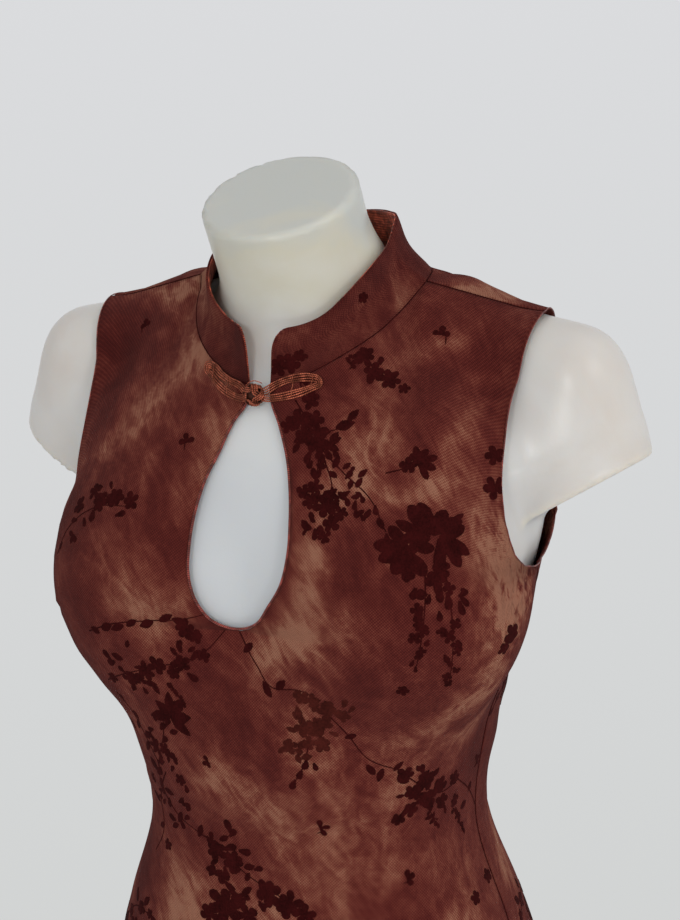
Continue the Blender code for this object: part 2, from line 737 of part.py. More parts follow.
def frog_loop(name, table, trees, made_material):
    """A flat hairpin of cords that starts at the knot and ends there."""
    flat = smooth_line([(x, 0.0, z) for x, z in table])
    path = at_fractions(flat, np.linspace(0, 1, LOOP_STEPS))
    path[:, 1] = [front_of(trees, x, z) for x, _, z in path]
    for _ in range(3):
        path[1:-1, 1] = np.minimum(path[1:-1, 1], (path[:-2, 1] + path[2:, 1]) / 2)
    from_knot = np.hypot(path[:, 0] - KNOT_PLACE[0], path[:, 2] - KNOT_PLACE[1])
    lift = LOOP_LIFT * np.clip(1 - (from_knot - KNOT_RADIUS) / LOOP_LIFT_LENGTH, 0, 1) ** 2
    path[:, 1] -= SEAM_GAP + CORD_RADIUS + lift
    outwards = np.tile((0.0, -1.0, 0.0), (len(path), 1))
    mesh = sweep(name, path, outwards, loop_profile())
    return add_object(name, mesh, made_material, 30.0)


def frog_knot(edge_y, made_material):
    """The woven ball, in front of the throat."""
    x, z = KNOT_PLACE
    centre = np.array((x, edge_y - SEAM_GAP - KNOT_DEPTH - KNOT_RELIEF, z))
    vertices = []
    for i in range(1, KNOT_RINGS):
        tilt = math.pi * i / KNOT_RINGS
        for j in range(KNOT_SEGMENTS):
            turn = 2 * math.pi * j / KNOT_SEGMENTS
            over = math.cos(WEAVE_TURNS * turn + WEAVE_RISE * tilt)
            under = math.cos(WEAVE_TURNS * turn - WEAVE_RISE * tilt)
            weave = over * under * math.sin(tilt)
            swell = 1 + weave * KNOT_RELIEF / KNOT_RADIUS
            vertices.append(centre + swell * np.array((
                KNOT_RADIUS * math.sin(tilt) * math.cos(turn),
                -KNOT_DEPTH * math.cos(tilt),
                KNOT_RADIUS * math.sin(tilt) * math.sin(turn),
            )))
    rings = KNOT_RINGS - 1
    around = [(j, (j + 1) % KNOT_SEGMENTS) for j in range(KNOT_SEGMENTS)]
    faces = [
        tuple(KNOT_SEGMENTS * (i + di) + j[k] for di, k in ((0, 0), (0, 1), (1, 1), (1, 0)))
        for i in range(rings - 1)
        for j in around
    ]
    front, back = len(vertices), len(vertices) + 1
    vertices += [centre - (0, KNOT_DEPTH, 0), centre + (0, KNOT_DEPTH, 0)]
    faces += [(j[1], j[0], front) for j in around]
    last = KNOT_SEGMENTS * (rings - 1)
    faces += [(last + j[0], last + j[1], back) for j in around]
    return add_object("frog_knot", closed_mesh("frog_knot", vertices, faces), made_material, 80.0)


# --- The form and its stand ---------------------------------------------------------------

def rough_form():
    """A stepped skin round every small cube whose middle is inside the figure."""
    low, high = (np.array(corner) for corner in FORM_BOX)
    counts = np.ceil((high - low) / ROUGH_CUBE).astype(int)
    middles = np.stack(np.meshgrid(*[np.arange(n) for n in counts], indexing="ij"), axis=-1)
    middles = (middles.reshape(-1, 3) + 0.5) * ROUGH_CUBE + low
    filled = (figure(middles, FORM_BLENDS) < 0).reshape(counts)
    filled = np.pad(filled, 1)
    work = bmesh.new()
    corners = {}

    def corner(place):
        if place not in corners:
            corners[place] = work.verts.new(tuple(low + (np.array(place) - 1) * ROUGH_CUBE))
        return corners[place]

    for axis in range(3):
        others = [other for other in range(3) if other != axis]
        change = np.diff(filled.astype(int), axis=axis)
        for cell in np.argwhere(change != 0):
            base = cell.copy()
            base[axis] += 1
            square = []
            for u, v in ((0, 0), (1, 0), (1, 1), (0, 1)):
                place = base.copy()
                place[others[0]] += u
                place[others[1]] += v
                square.append(corner(tuple(int(p) for p in place)))
            work.faces.new(square)
    bmesh.ops.recalc_face_normals(work, faces=work.faces)
    mesh = bpy.data.meshes.new("rough_form")
    work.to_mesh(mesh)
    work.free()
    return mesh


def evened(mesh):
    """The same body in even squares."""
    thing = bpy.data.objects.new("rough_form", mesh)
    bpy.context.scene.collection.objects.link(thing)
    remesh = thing.modifiers.new("even", "REMESH")
    remesh.mode = "VOXEL"
    remesh.voxel_size = FORM_VOXEL
    depsgraph = bpy.context.evaluated_depsgraph_get()
    even = bpy.data.meshes.new_from_object(thing.evaluated_get(depsgraph))
    bpy.data.objects.remove(thing)
    return even


def snap_to_arm_rim(points):
    """Moves the points beside the edge of each flat arm cut onto that edge."""
    mirrored = points.copy()
    mirrored[:, 0] = np.abs(mirrored[:, 0])
    cap = ellipsoid(mirrored, ARM_CENTRE, ARM_RADII)
    near = (np.abs(cap) < RIM_REACH) & (np.abs(arm_cut_height(mirrored)) < RIM_REACH)
    near &= mirrored[:, 0] > RIM_START
    rim = mirrored[near]
    (x0, z0), (x1, z1) = ARM_CUT
    across_cut = np.array((z1 - z0, 0.0, x0 - x1)) / math.hypot(x1 - x0, z1 - z0)
    for _ in range(LAYING_PASSES):
        rim = rim - arm_cut_height(rim)[:, None] * across_cut
        offset = (rim - ARM_CENTRE) / ARM_RADII
        way = offset / ARM_RADII
        way -= (way @ across_cut)[:, None] * across_cut
        way /= np.linalg.norm(way, axis=1)[:, None]
        rim = rim - way * ellipsoid(rim, ARM_CENTRE, ARM_RADII)[:, None]
    rim[:, 0] *= np.sign(points[near, 0])
    points[near] = rim
    return points


def sink_bridges(work):
    """Sinks the corners of faces that would bridge a hollow of the figure."""
    work.faces.ensure_lookup_table()
    work.verts.index_update()
    middles = np.array([face.calc_center_median() for face in work.faces])
    above, _ = distance_and_normal(middles, FORM_BLENDS)
    sink = np.zeros(len(work.verts))
    for face, height in zip(work.faces, above):
        for vertex in face.verts:
            sink[vertex.index] = max(sink[vertex.index], height)
    points = np.array([vertex.co for vertex in work.verts])
    _, normal = distance_and_normal(points, FORM_BLENDS)
    for vertex, point in zip(work.verts, points - normal * sink[:, None]):
        vertex.co = point


def form_torso(made_material):
    """The whole limbless body, with flat neck, arm and bottom faces."""
    mesh = evened(rough_form())
    work = bmesh.new()
    work.from_mesh(mesh)
    for _ in range(FORM_PASSES):
        bmesh.ops.smooth_vert(
            work, verts=work.verts, factor=0.5, use_axis_x=True, use_axis_y=True, use_axis_z=True
        )
        points = lay(np.array([vertex.co for vertex in work.verts]), 0.0, FORM_BLENDS)
        for vertex, point in zip(work.verts, points):
            vertex.co = point
    points = snap_to_arm_rim(points)
    for vertex, point in zip(work.verts, points):
        vertex.co = point
    sink_bridges(work)
    cap_normal = (0.0, -math.sin(NECK_CAP_TILT), math.cos(NECK_CAP_TILT))
    for place, normal in ((NECK_CAP, cap_normal), ((0, 0, FORM_BOTTOM), (0, 0, -1))):
        everything = work.verts[:] + work.edges[:] + work.faces[:]
        cut = bmesh.ops.bisect_plane(
            work, geom=everything, plane_co=place, plane_no=normal, dist=CUT_MERGE, clear_outer=True
        )
        rim = [item for item in cut["geom_cut"] if isinstance(item, bmesh.types.BMEdge)]
        bmesh.ops.contextual_create(work, geom=rim)
    bmesh.ops.dissolve_degenerate(work, edges=work.edges, dist=CUT_MERGE)
    bmesh.ops.recalc_face_normals(work, faces=work.faces)
    work.to_mesh(mesh)
    work.free()
    return add_object("form_torso", mesh, made_material, 38.0)


def form_pole(made_material):
    top = FORM_BOTTOM - SEAM_GAP
    flange = top - FLANGE_THICKNESS
    foot = PLATE_THICKNESS + POLE_FOOT_GAP
    outline = (
        (0.0, foot),
        (POLE_RADIUS, foot),
        (POLE_RADIUS, flange),
        (FLANGE_RADIUS, flange),
        (FLANGE_RADIUS, top),
        (0.0, top),
    )
    return add_object("form_pole", turned("form_pole", outline, 32), made_material)


def form_base(made_material):
    hole = POLE_RADIUS + SOCKET_GAP
    floor = PLATE_THICKNESS + POLE_FOOT_GAP - SEAM_GAP
    outline = (
        (0.0, 0.0),
        (PLATE_RADIUS, 0.0),
        (PLATE_RADIUS, PLATE_THICKNESS - PLATE_BEVEL),
        (PLATE_RADIUS - PLATE_BEVEL, PLATE_THICKNESS),
        (SOCKET_RADIUS, PLATE_THICKNESS),
        (SOCKET_RADIUS, SOCKET_HEIGHT - PLATE_BEVEL),
        (SOCKET_RADIUS - PLATE_BEVEL, SOCKET_HEIGHT),
        (hole, SOCKET_HEIGHT),
        (hole, floor),
        (0.0, floor),
    )
    return add_object("form_base", turned("form_base", outline, 56), made_material)


def tree_of(thing):
    work = bmesh.new()
    work.from_mesh(thing.data)
    tree = BVHTree.FromBMesh(work)
    work.free()
    return tree


def main():
    for thing in list(bpy.data.objects):
        bpy.data.objects.remove(thing)
    front = panel("front_panel", -1, material("front_net", NET_COLOUR, 0.75))
    panel("back_panel", 1, material("back_net", NET_COLOUR, 0.75))
    collar = collar_layer("collar", 0.0, WALL, slice(None), material("collar_net", NET_COLOUR, 0.75))
    facing_satin = material("facing_satin", RUST_COLOUR, 0.55)
    collar_layer("collar_facing", WALL + SEAM_GAP, FACING_WALL, FACING_ROWS, facing_satin)
    keyhole_binding(material("binding_satin", RUST_COLOUR, 0.5))

    trees = [tree_of(front), tree_of(collar)]
    for name, table in (("frog_loop_left", FROG_LOOP_LEFT), ("frog_loop_right", FROG_LOOP_RIGHT)):
        frog_loop(name, table, trees, material(name + "_satin", COPPER_COLOUR, 0.4))
    frog_knot(NECKLINE_FRONT[0][1], material("knot_satin", COPPER_COLOUR, 0.4))

    form_torso(material("form_plastic", (0.78, 0.76, 0.72), 0.35))
    form_pole(material("pole_steel", (0.6, 0.6, 0.6), 0.3, 1.0))
    form_base(material("base_paint", (0.75, 0.75, 0.75), 0.4, 0.6))


main()
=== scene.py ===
"""Looks of the cheongsam dress on its limbless dress form.

Metres, +Z up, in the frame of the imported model. The wearer faces -Y and the wearer's left is
+X. Places on the cloth are given as a turn round the body in degrees (0 in the middle of the
front, 90 at the wearer's left side seam, 180 in the middle of the back) and a height.
"""
import math
import random

import bmesh
import bpy
import numpy as np
from mathutils import Matrix, Vector, noise
from mathutils.bvhtree import BVHTree


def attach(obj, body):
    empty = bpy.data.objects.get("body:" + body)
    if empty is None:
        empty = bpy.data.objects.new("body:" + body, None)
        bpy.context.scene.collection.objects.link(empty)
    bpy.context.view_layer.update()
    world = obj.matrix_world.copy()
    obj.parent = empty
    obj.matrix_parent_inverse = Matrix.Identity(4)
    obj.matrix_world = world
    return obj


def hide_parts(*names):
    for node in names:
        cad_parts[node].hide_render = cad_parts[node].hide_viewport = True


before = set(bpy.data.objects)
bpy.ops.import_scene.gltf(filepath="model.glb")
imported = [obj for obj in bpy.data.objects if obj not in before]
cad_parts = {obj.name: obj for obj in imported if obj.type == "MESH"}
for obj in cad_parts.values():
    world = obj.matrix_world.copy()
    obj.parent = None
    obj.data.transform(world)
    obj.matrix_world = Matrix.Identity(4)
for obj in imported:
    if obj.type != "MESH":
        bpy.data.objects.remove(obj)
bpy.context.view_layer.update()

random.seed(5)
MM = 0.001

# Cloth
CLEARANCE = 0.002             # inside of the solid cloth to the form, where it lies closest
SOLID_WALL = 0.0015           # the wall of the solids
SHELL = 0.001                 # the cloth shown here
SEAM_GAP = 0.0003
COLLAR_GAP = 0.00014
LINING_GAP, LINING_SHELL = 0.0002, 0.0008
OUTER = CLEARANCE + SOLID_WALL

# Dress heights
HEM = 0.4
SLIT_TOP = 0.64
SLIT_OPENING = 0.006
UNDERARM = 1.2665

# Dress form
FORM_BOTTOM = 0.785
NECK_CAP = (0.0, -0.0412, 1.4907)
NECK_CAP_TILT = math.radians(26.4)

# Camera, from the photograph
CAMERA_TURN = 0.438884078
CAMERA_TILT = 0.189078562
CAMERA_ROLL = -0.0198215181
CAMERA_DISTANCE = 1.41655753
CAMERA_TARGET = (0.0144542582, 0.00673863824, 1.32009899)
CAMERA_LENS = 87.4243

# Room: place from below to above, colour
ROOM_RAMP = (
    (0.0, (0.62, 0.63, 0.625)),
    (0.14, (0.642, 0.655, 0.652)),
    (0.49, (0.705, 0.712, 0.728)),
    (1.0, (0.7, 0.705, 0.72)),
)
ROOM_STRENGTH = 1.0
DIM_SIDE, DIM_SIDE_SHARE = (-0.74, -0.58, 0.34), 0.68      # the room is darker on this side
DIM_FROM = 0.15
ROOM_FROM, ROOM_TO = -0.55, 0.6
FLOOR_RINGS = ((0.7, 0.0), (1.6, 0.0), (2.15, 0.0), (2.18, 0.012))  # radius, drop
FLOOR_TOP, FLOOR_SIDES = -0.0005, 96
LIGHTS = (                    # name, place, target, size, power, colour
    ("front", (0.35, -3.0, 1.95), (0.0, 0.0, 1.35), 0.55, 15.0, (1.0, 0.99, 0.97)),
    ("low_right", (2.3, -2.1, 0.55), (0.1, 0.0, 1.3), 0.5, 9.0, (1.0, 0.98, 0.95)),
    ("high_right", (2.0, -0.9, 2.7), (0.0, 0.0, 1.3), 1.2, 8.0, (1.0, 0.99, 0.97)),
)

# The figure in level sections: height, half width, front depth, back depth, squareness
SECTIONS = (
    (0.36, 0.16, 0.108, 0.112, 2.2), (0.6, 0.166, 0.11, 0.12, 2.2), (0.78, 0.172, 0.106, 0.132, 2.2),
    (0.89, 0.166, 0.099, 0.139, 2.2), (0.97, 0.1445, 0.0955, 0.1275, 2.25),
    (1.03, 0.126, 0.0935, 0.106, 2.35), (1.1, 0.104, 0.095, 0.08, 2.42), (1.15, 0.1095, 0.105, 0.083, 2.46),
    (1.2, 0.1225, 0.1045, 0.0945, 2.35), (1.25, 0.138, 0.1015, 0.104, 2.29),
    (1.3, 0.148, 0.0945, 0.108, 2.26), (1.35, 0.144, 0.082, 0.104, 2.14), (1.39, 0.104, 0.062, 0.087, 1.7),
    (1.42, 0.063, 0.04, 0.06, 1.7), (1.46, 0.033, 0.024, 0.033, 1.77),
)
# Rounded masses that soften into the sections, on the wearer's left; the right mirrors them
BUST_CENTRE, BUST_RADII = (0.078, -0.052, 1.247), (0.0725, 0.058, 0.07)
ARM_CENTRE, ARM_RADII = (0.1655, 0.014, 1.3155), (0.052, 0.039, 0.0845)
ARM_CUT = ((0.15, 1.2958), (0.2155, 1.3338))               # (x, z) of the flat cut under each cap
SHOULDER_INNER, SHOULDER_INNER_RADIUS = (0.0525, 0.032, 1.402), 0.0345
SHOULDER_OUTER, SHOULDER_OUTER_RADIUS = (0.1685, 0.0135, 1.3825), 0.028
NECK_BASE, NECK_BASE_RADIUS = (0.0, 0.016, 1.3865), 0.0486
NECK_TOP_RADIUS = 0.0488
NECK_RUN = (-0.2, 1.6)        # where the neck's cone starts and ends, as shares from base to cap
ARM_BLEND, SHOULDER_BLEND = 0.022, 0.03
SIDE_SOFTENING = 0.012        # where front turns into back
FORM_BLENDS = {"bust": 0.03, "neck": 0.028}
CLOTH_BLENDS = {"bust": 0.04, "neck": 0.045}              # cloth bridges the hollows

# Edges of the garment on the wearer's left: x, y, z
NECKLINE_FRONT = (
    (0.0075, -0.0745, 1.38), (0.02, -0.071, 1.3825), (0.033, -0.061, 1.388), (0.045, -0.049, 1.395),
    (0.0569, -0.0347, 1.405), (0.065, -0.0236, 1.415), (0.0725, -0.0105, 1.4265), (0.078, 0.0006, 1.4365),
)
NECKLINE_BACK = (
    (0.078, 0.0006, 1.4365), (0.0745, 0.018, 1.441), (0.062, 0.036, 1.442), (0.036, 0.052, 1.436),
    (0.0, 0.058, 1.433),
)
COLLAR_TOP = (
    (0.0107, -0.075, 1.414), (0.0212, -0.0645, 1.415), (0.0329, -0.0573, 1.42), (0.0443, -0.051, 1.43),
    (0.0517, -0.0415, 1.44), (0.0563, -0.0272, 1.45), (0.057, -0.0088, 1.4595), (0.056, 0.004, 1.47),
    (0.0535, 0.0135, 1.475), (0.043, 0.0265, 1.4765), (0.031, 0.0375, 1.4765), (0.0, 0.046, 1.4745),
)
ARMHOLE_FRONT = (
    (0.15, 0.0, 1.2668), (0.154, -0.018, 1.2692), (0.157, -0.036, 1.2726), (0.1555, -0.0465, 1.2763),
    (0.153, -0.053, 1.284), (0.1495, -0.0525, 1.293), (0.147, -0.05, 1.305), (0.1448, -0.048, 1.3225),
    (0.1434, -0.0393, 1.3475), (0.1436, -0.0273, 1.3725), (0.148, -0.0086, 1.3975),
    (0.1506, 0.0132, 1.4169),
)
ARMHOLE_BACK = (
    (0.15, 0.0, 1.2668), (0.148, 0.018, 1.269), (0.1458, 0.038, 1.2785), (0.1424, 0.054, 1.295),
    (0.1365, 0.065, 1.323), (0.132, 0.067, 1.352), (0.134, 0.056, 1.382), (0.143, 0.036, 1.404),
    (0.1506, 0.0132, 1.4169),
)
# Clear opening of the keyhole: height, x of the wearer's right edge, x of the left edge
KEYHOLE = (
    (1.2378, 0.0, 0.0), (1.2423, -0.0178, 0.011), (1.253, -0.0267, 0.019), (1.268, -0.0317, 0.028),
    (1.286, -0.0327, 0.0312), (1.3045, -0.0318, 0.0299), (1.3235, -0.0278, 0.027), (1.34, -0.0204, 0.0232),
    (1.358, -0.0133, 0.0155), (1.37, -0.0062, 0.0085),
)
ARMHOLE_SPARE = 0.001         # armhole edges stand a little off the body

# Stand collar
COLLAR_CORNER = 0.013         # run of the rounded front corner along the collar
COLLAR_CORNER_DROP = 0.4      # share of the height that the front edge lacks
COLLAR_DIP = 0.003            # how far the band hollows between its edges
COLLAR_DIP_START = 0.03
COLLAR_SPARE = 0.0004         # kept between the layers and the neck beside the usual clearance
COLLAR_ROWS = 19
CORNER_STEPS = (0.12, 0.3, 0.52, 0.75)                     # extra columns near the front edge

# Trimmings
SEAM_RADIUS, STITCH_RADIUS, ROLL_RADIUS, SEAM_STEP = 0.00038, 0.00022, 0.00042, 0.003
HEM_DEPTH = 0.022
SIDE_SEAM_SHORT = 0.002
HEM_SAMPLES, SIDE_SAMPLES, BINDING_SAMPLES = 80, 150, 90
BINDING_RADIUS = 0.0008
BINDING_GAP = 0.0001
PANEL_BESIDE_KEYHOLE = BINDING_RADIUS * 2 + BINDING_GAP
KEYHOLE_EASE = 0.0005
KEYHOLE_CUT = KEYHOLE[0][0] - PANEL_BESIDE_KEYHOLE - KEYHOLE_EASE
CORD_RADIUS = 0.00045
KNOT_RADIUS = 0.0062
KNOT_DEPTH = 0.0048
KNOT_LIFT = 0.0004            # between the cloth and the knot's back
BALL_CORD_RADIUS = 0.00058
BALL_CORE = 0.86              # the ball's middle, painted dark for the shade between its strands, as a share of its size
STRAY_RADIUS = 0.00028
BALL_LEADS, BALL_BIGHTS = 3, 5                             # how the ball's cord crosses itself
BALL_TILT, BALL_LEAD = math.radians(58), math.radians(35)
BALL_RISE = 0.075             # how far the cord rises and dips as it crosses, as a share
BALL_SPREAD = 2.3             # from the middle strand to the outer two, in cord radii
BALL_AXIS = 0.96
BALL_RADIUS, BALL_DEPTH = KNOT_RADIUS + 0.0003, KNOT_DEPTH - 0.0006
BALL_LOW, BALL_LOW_RUN, BALL_LOW_SHADE = 1.03, 0.07, 0.55  # painted shade where the cord dips under
STRAY_START, STRAY_RUN = (-0.004, -0.0022, 0.0058), 0.011
STRAY_BOWS = ((-0.002, 3.1), (0.0035, 2.6))                # forwards and up
CORD_SPACING = 2.85           # between a loop's cords, in cord radii
LOOP_SAMPLES, LOOP_PASSES = 84, 14
BESIDE = 0.0018               # a cord lies on the foremost cloth within this reach
WRAP_RADIUS, WRAP_REACH, WRAP_SAMPLES, WRAP_PASSES = 0.00032, 0.0012, 14, 3
CORD_WOBBLE, WOBBLE_WAVES, WOBBLE_SHIFT, WOBBLE_SINK = 0.0003, 17, 4000, 0.6
SHADE_FALL = 1.35             # how fast the painted shade darkens the cords towards their sides
KNOT_PLACE = (-0.001, 1.3745)
LOOP_LIFT = 0.0032
LOOP_LIFT_LENGTH = 0.011
# Middle lines of the frog's loops from the knot out and back: x, z
FROG_LOOP_LEFT = (
    (0.0022, 1.3756), (0.0062, 1.377), (0.011, 1.3802), (0.018, 1.3834), (0.026, 1.385), (0.0325, 1.385),
    (0.037, 1.3838), (0.0378, 1.3815), (0.0345, 1.3797), (0.028, 1.377), (0.02, 1.3747), (0.012, 1.3732),
    (0.0062, 1.373), (0.0022, 1.3738),
)
FROG_LOOP_RIGHT = (
    (-0.0042, 1.3756), (-0.0082, 1.3772), (-0.0118, 1.379), (-0.0195, 1.3812), (-0.0275, 1.3845),
    (-0.0345, 1.3885), (-0.0388, 1.3893), (-0.0392, 1.3862), (-0.035, 1.3832), (-0.029, 1.379),
    (-0.022, 1.3752), (-0.015, 1.3728), (-0.0082, 1.3724), (-0.0042, 1.3736),
)
# Threads laid across both arms of a loop: from x, z to x, z
FROG_WRAPS = (
    ((0.0215, 1.3858), (0.0225, 1.3742)), ((0.0335, 1.3866), (0.0335, 1.3788)),
    ((-0.0215, 1.3832), (-0.0205, 1.3738)), ((-0.034, 1.3896), (-0.033, 1.3812)),
)

# Fineness
RING_SAMPLES = 61
COLUMNS_TO_NECK = 42
COLUMNS_TO_SHOULDER = 34
ROWS_TO_UNDERARM = 9
ROWS_TO_SHOULDER = 66
COARSE_ROW, FINE_ROW, FINE_FROM = 0.0085, 0.0045, 0.95
SMOOTHING_PASSES = 4
EASE_POWER = 4
FORM_VOXEL = 0.0062
ROUGH_CUBE = 0.006
FORM_PASSES = 4
FORM_LAYING_PASSES, FORM_MOVE = 6, 0.006
RIM_ROUNDING = 0.0032
ARM_RIM_ROUNDING = 0.0028
RIM_HIGHLIGHT_SPREAD = 0.0026             # how far the painted edge highlight spreads beside the arm rims
ARM_BLEND_AT_CUT = 0.005      # the arm caps meet the body in a crease at their cut
ARM_BLEND_START = 0.03
FORM_BOX = ((-0.24, -0.15, 0.7), (0.24, 0.17, 1.53))
DENSE_SAMPLES = 160
THROAT_PULL = 8
SLOPE_STEP = 0.0001
LONGEST_MOVE = 0.03
LAYING_PASSES = 14
START_RADIUS = 0.12
LEAST_FACING = 0.2            # keeps a slide short where the skin is nearly along it
OUTSIDE, IN_FRONT = 0.5, 0.3  # well clear of the figure

# Creases: turn, height, heading (degrees, 0 level, 90 up), length, width and depth in mm.
# A ridge's depth is above nought and a trough's below.
CREASES = (
    (72, 1.3, 82, 34, 2.4, 0.9), (68, 1.29, 74, 40, 2.2, -0.9), (69, 1.279, 66, 36, 2.0, 0.9),
    (66, 1.27, 84, 44, 2.6, -0.8), (72, 1.262, 58, 30, 2.0, 0.8), (64, 1.262, 76, 38, 2.4, 0.7),
    (75, 1.268, 96, 28, 2.2, -0.8), (78, 1.256, 84, 34, 2.4, 0.9), (68, 1.247, 48, 30, 2.2, -0.7),
    (73, 1.246, 70, 30, 2.0, 0.7), (62, 1.28, 98, 32, 2.6, -0.6), (81, 1.268, 72, 26, 2.0, 0.8),
    (70, 1.236, 30, 26, 2.4, 0.6), (84, 1.244, 104, 36, 2.4, -0.7), (60, 1.2315, 14, 44, 2.0, -1.0),
    (60, 1.235, 14, 46, 2.4, 0.7), (-4, 1.212, 97, 70, 3.5, 0.6), (5, 1.178, 108, 60, 4.5, 0.5),
    (-70, 1.29, 96, 34, 2.6, 0.8), (-66, 1.278, 106, 38, 2.4, -0.7), (-73, 1.266, 88, 32, 2.2, 0.8),
    (-62, 1.262, 112, 40, 2.8, -0.6), (-76, 1.25, 100, 34, 2.4, 0.7), (-60, 1.2315, 166, 42, 2.0, -0.9),
    (-60, 1.235, 166, 44, 2.4, 0.6), (112, 1.286, 84, 36, 2.6, 0.8), (118, 1.274, 72, 40, 2.4, -0.7),
    (108, 1.262, 96, 34, 2.2, 0.8), (-112, 1.284, 98, 38, 2.6, 0.8), (-117, 1.27, 108, 38, 2.4, -0.7),
    (-107, 1.258, 84, 34, 2.2, 0.7), (30, 1.118, 4, 70, 4.0, 0.5), (-28, 1.106, -6, 62, 4.5, 0.5),
    (52, 1.098, 12, 58, 3.6, -0.6), (-56, 1.122, -14, 64, 3.8, 0.6), (70, 1.086, 20, 52, 3.4, 0.6),
    (-74, 1.094, -22, 54, 3.6, -0.6), (160, 1.124, 5, 84, 4.5, 0.9), (174, 1.104, -4, 100, 5.0, -0.9),
    (-166, 1.088, -7, 90, 4.5, 0.9), (150, 1.084, 12, 70, 4.2, 0.7), (-148, 1.112, -14, 72, 4.4, -0.7),
    (130, 1.1, 22, 56, 3.8, 0.6), (-128, 1.098, -24, 60, 3.8, 0.6), (96, 0.96, 74, 120, 7.0, 0.7),
    (-98, 0.93, 104, 130, 7.5, 0.7), (24, 0.9, 82, 150, 9.0, -0.7), (-30, 0.86, 99, 170, 9.0, 0.7),
    (150, 0.8, 86, 180, 9.0, -0.8), (-140, 0.78, 95, 170, 9.0, 0.8), (58, 0.56, 88, 190, 9.0, 0.9),
    (-62, 0.54, 93, 180, 9.0, -0.9), (122, 0.56, 90, 190, 9.0, -0.8), (-118, 0.58, 88, 170, 9.0, 0.8),
)
# Broad swells and hollows of the cloth: turn, height, reach across and up in mm, lift in mm
SWELLS = (
    (-66, 1.187, 40, 12, -1.7), (-66, 1.145, 40, 16, 1.8), (112, 1.217, 40, 13, -1.6),
    (112, 1.182, 40, 13, 1.9),
)
# Fine puckers under the arms: turn, height, reach across and up in mm and depth in mm
PUCKERS = (
    (72, 1.268, 24, 36, 1.5), (-71, 1.268, 16, 30, 0.8), (108, 1.272, 14, 26, 0.35),
    (-110, 1.27, 16, 30, 0.8),
)
PUCKER_NOISE = (150, 150, 70)
PUCKER_WAVES, PUCKER_FOLDS = 0.7, 0.5
CREASE_WANDER, CREASE_WAVES = 0.0015, 2.2
CREASE_DEEP, PATCH_DEEP = 0.04, 0.05  # past this far off the cloth they don't reach another side

# Light dye: its own level, share of the patches, most; slow noises: share, scale, shift
DYE_LEVEL, DYE_SHARE, DYE_MOST = 0.25, 0.6, 0.8
DYE_MOTTLES = ((0.16, 14, 3.7), (0.14, (46, 46, 24), 0.0))
DYE_WANDER, DYE_SWAY = (0.012, 38, 9.1), (0.01, 41, 5.3)
# Light dye patches: turn, height, heading, half length and half width in mm, strength
DYE_PATCHES = (
    (12, 1.404, 10, 20, 7, 0.25), (96, 1.428, -12, 44, 9, 0.75), (-52, 1.364, 55, 34, 20, 0.66),
    (-57, 1.34, 60, 26, 16, 0.5), (-45, 1.386, 60, 26, 14, 0.34), (-38, 1.327, 80, 26, 9, 0.5),
    (-22, 1.322, 62, 22, 10, 0.5), (-56, 1.262, 88, 26, 11, 0.2), (8, 1.222, 70, 26, 17, 0.6),
    (17, 1.236, 60, 22, 15, 0.42), (24, 1.274, 84, 36, 13, 0.8), (32, 1.243, 40, 20, 14, 0.46),
    (50, 1.326, 12, 34, 9, 0.62), (74, 1.371, 60, 20, 11, 0.52), (64, 1.35, 20, 24, 12, 0.42),
    (78, 1.402, 12, 26, 9, 0.5), (88, 1.411, 0, 18, 8, 0.55), (68, 1.286, 82, 44, 17, 0.66),
    (64, 1.25, 76, 34, 16, 0.7), (72, 1.262, 84, 26, 12, 0.6), (66, 1.202, 66, 26, 13, 0.75),
    (75, 1.168, 74, 30, 12, 0.78), (30, 1.138, 78, 42, 24, 0.42), (34, 1.104, 60, 36, 26, 0.32),
    (18, 1.172, 84, 26, 12, 0.42), (52, 1.176, 10, 26, 9, 0.36), (50, 1.088, 30, 30, 20, 0.44),
    (42, 1.286, 30, 12, 9, 0.45), (36, 1.33, 50, 18, 11, 0.42), (-14, 1.25, 40, 18, 9, 0.3),
    (-32, 1.2, 20, 22, 8, 0.35), (-44, 1.168, 70, 26, 9, 0.35), (4, 1.06, 60, 40, 20, 0.45),
    (-36, 1.01, 80, 60, 22, 0.6), (26, 0.985, 70, 60, 24, 0.65), (64, 1.02, 80, 50, 18, 0.6),
    (-8, 0.9, 84, 70, 26, 0.65), (48, 0.88, 60, 60, 20, 0.5), (-56, 0.86, 76, 64, 22, 0.6),
    (14, 0.76, 88, 80, 24, 0.65), (-34, 0.7, 62, 70, 22, 0.55), (58, 0.69, 80, 70, 24, 0.65),
    (-70, 0.62, 86, 80, 20, 0.6), (28, 0.56, 70, 80, 26, 0.65), (-14, 0.5, 84, 70, 22, 0.55),
    (66, 0.47, 60, 60, 22, 0.6), (100, 1.432, 10, 40, 12, 0.8), (-104, 1.43, -10, 40, 11, 0.4),
    (130, 1.4, 30, 36, 16, 0.55), (165, 1.36, 74, 46, 20, 0.7), (-140, 1.35, 110, 44, 18, 0.65),
    (112, 1.3, 80, 34, 12, 0.6), (150, 1.25, 60, 46, 20, 0.6), (-160, 1.24, 86, 50, 18, 0.65),
    (120, 1.16, 78, 40, 16, 0.65), (175, 1.13, 20, 44, 20, 0.6), (-128, 1.15, 100, 44, 16, 0.6),
    (104, 1.06, 72, 44, 18, 0.6), (152, 1.02, 84, 60, 24, 0.65), (-156, 0.98, 70, 60, 24, 0.6),
    (-108, 1.0, 96, 54, 20, 0.65), (118, 0.9, 80, 70, 22, 0.6), (172, 0.85, 60, 70, 28, 0.65),
    (-132, 0.82, 88, 70, 24, 0.6), (140, 0.7, 76, 80, 24, 0.6), (-170, 0.66, 84, 80, 26, 0.65),
    (-112, 0.6, 70, 70, 22, 0.55), (116, 0.54, 88, 80, 24, 0.6), (160, 0.48, 60, 60, 24, 0.6),
    (-150, 0.47, 90, 60, 22, 0.55),
)

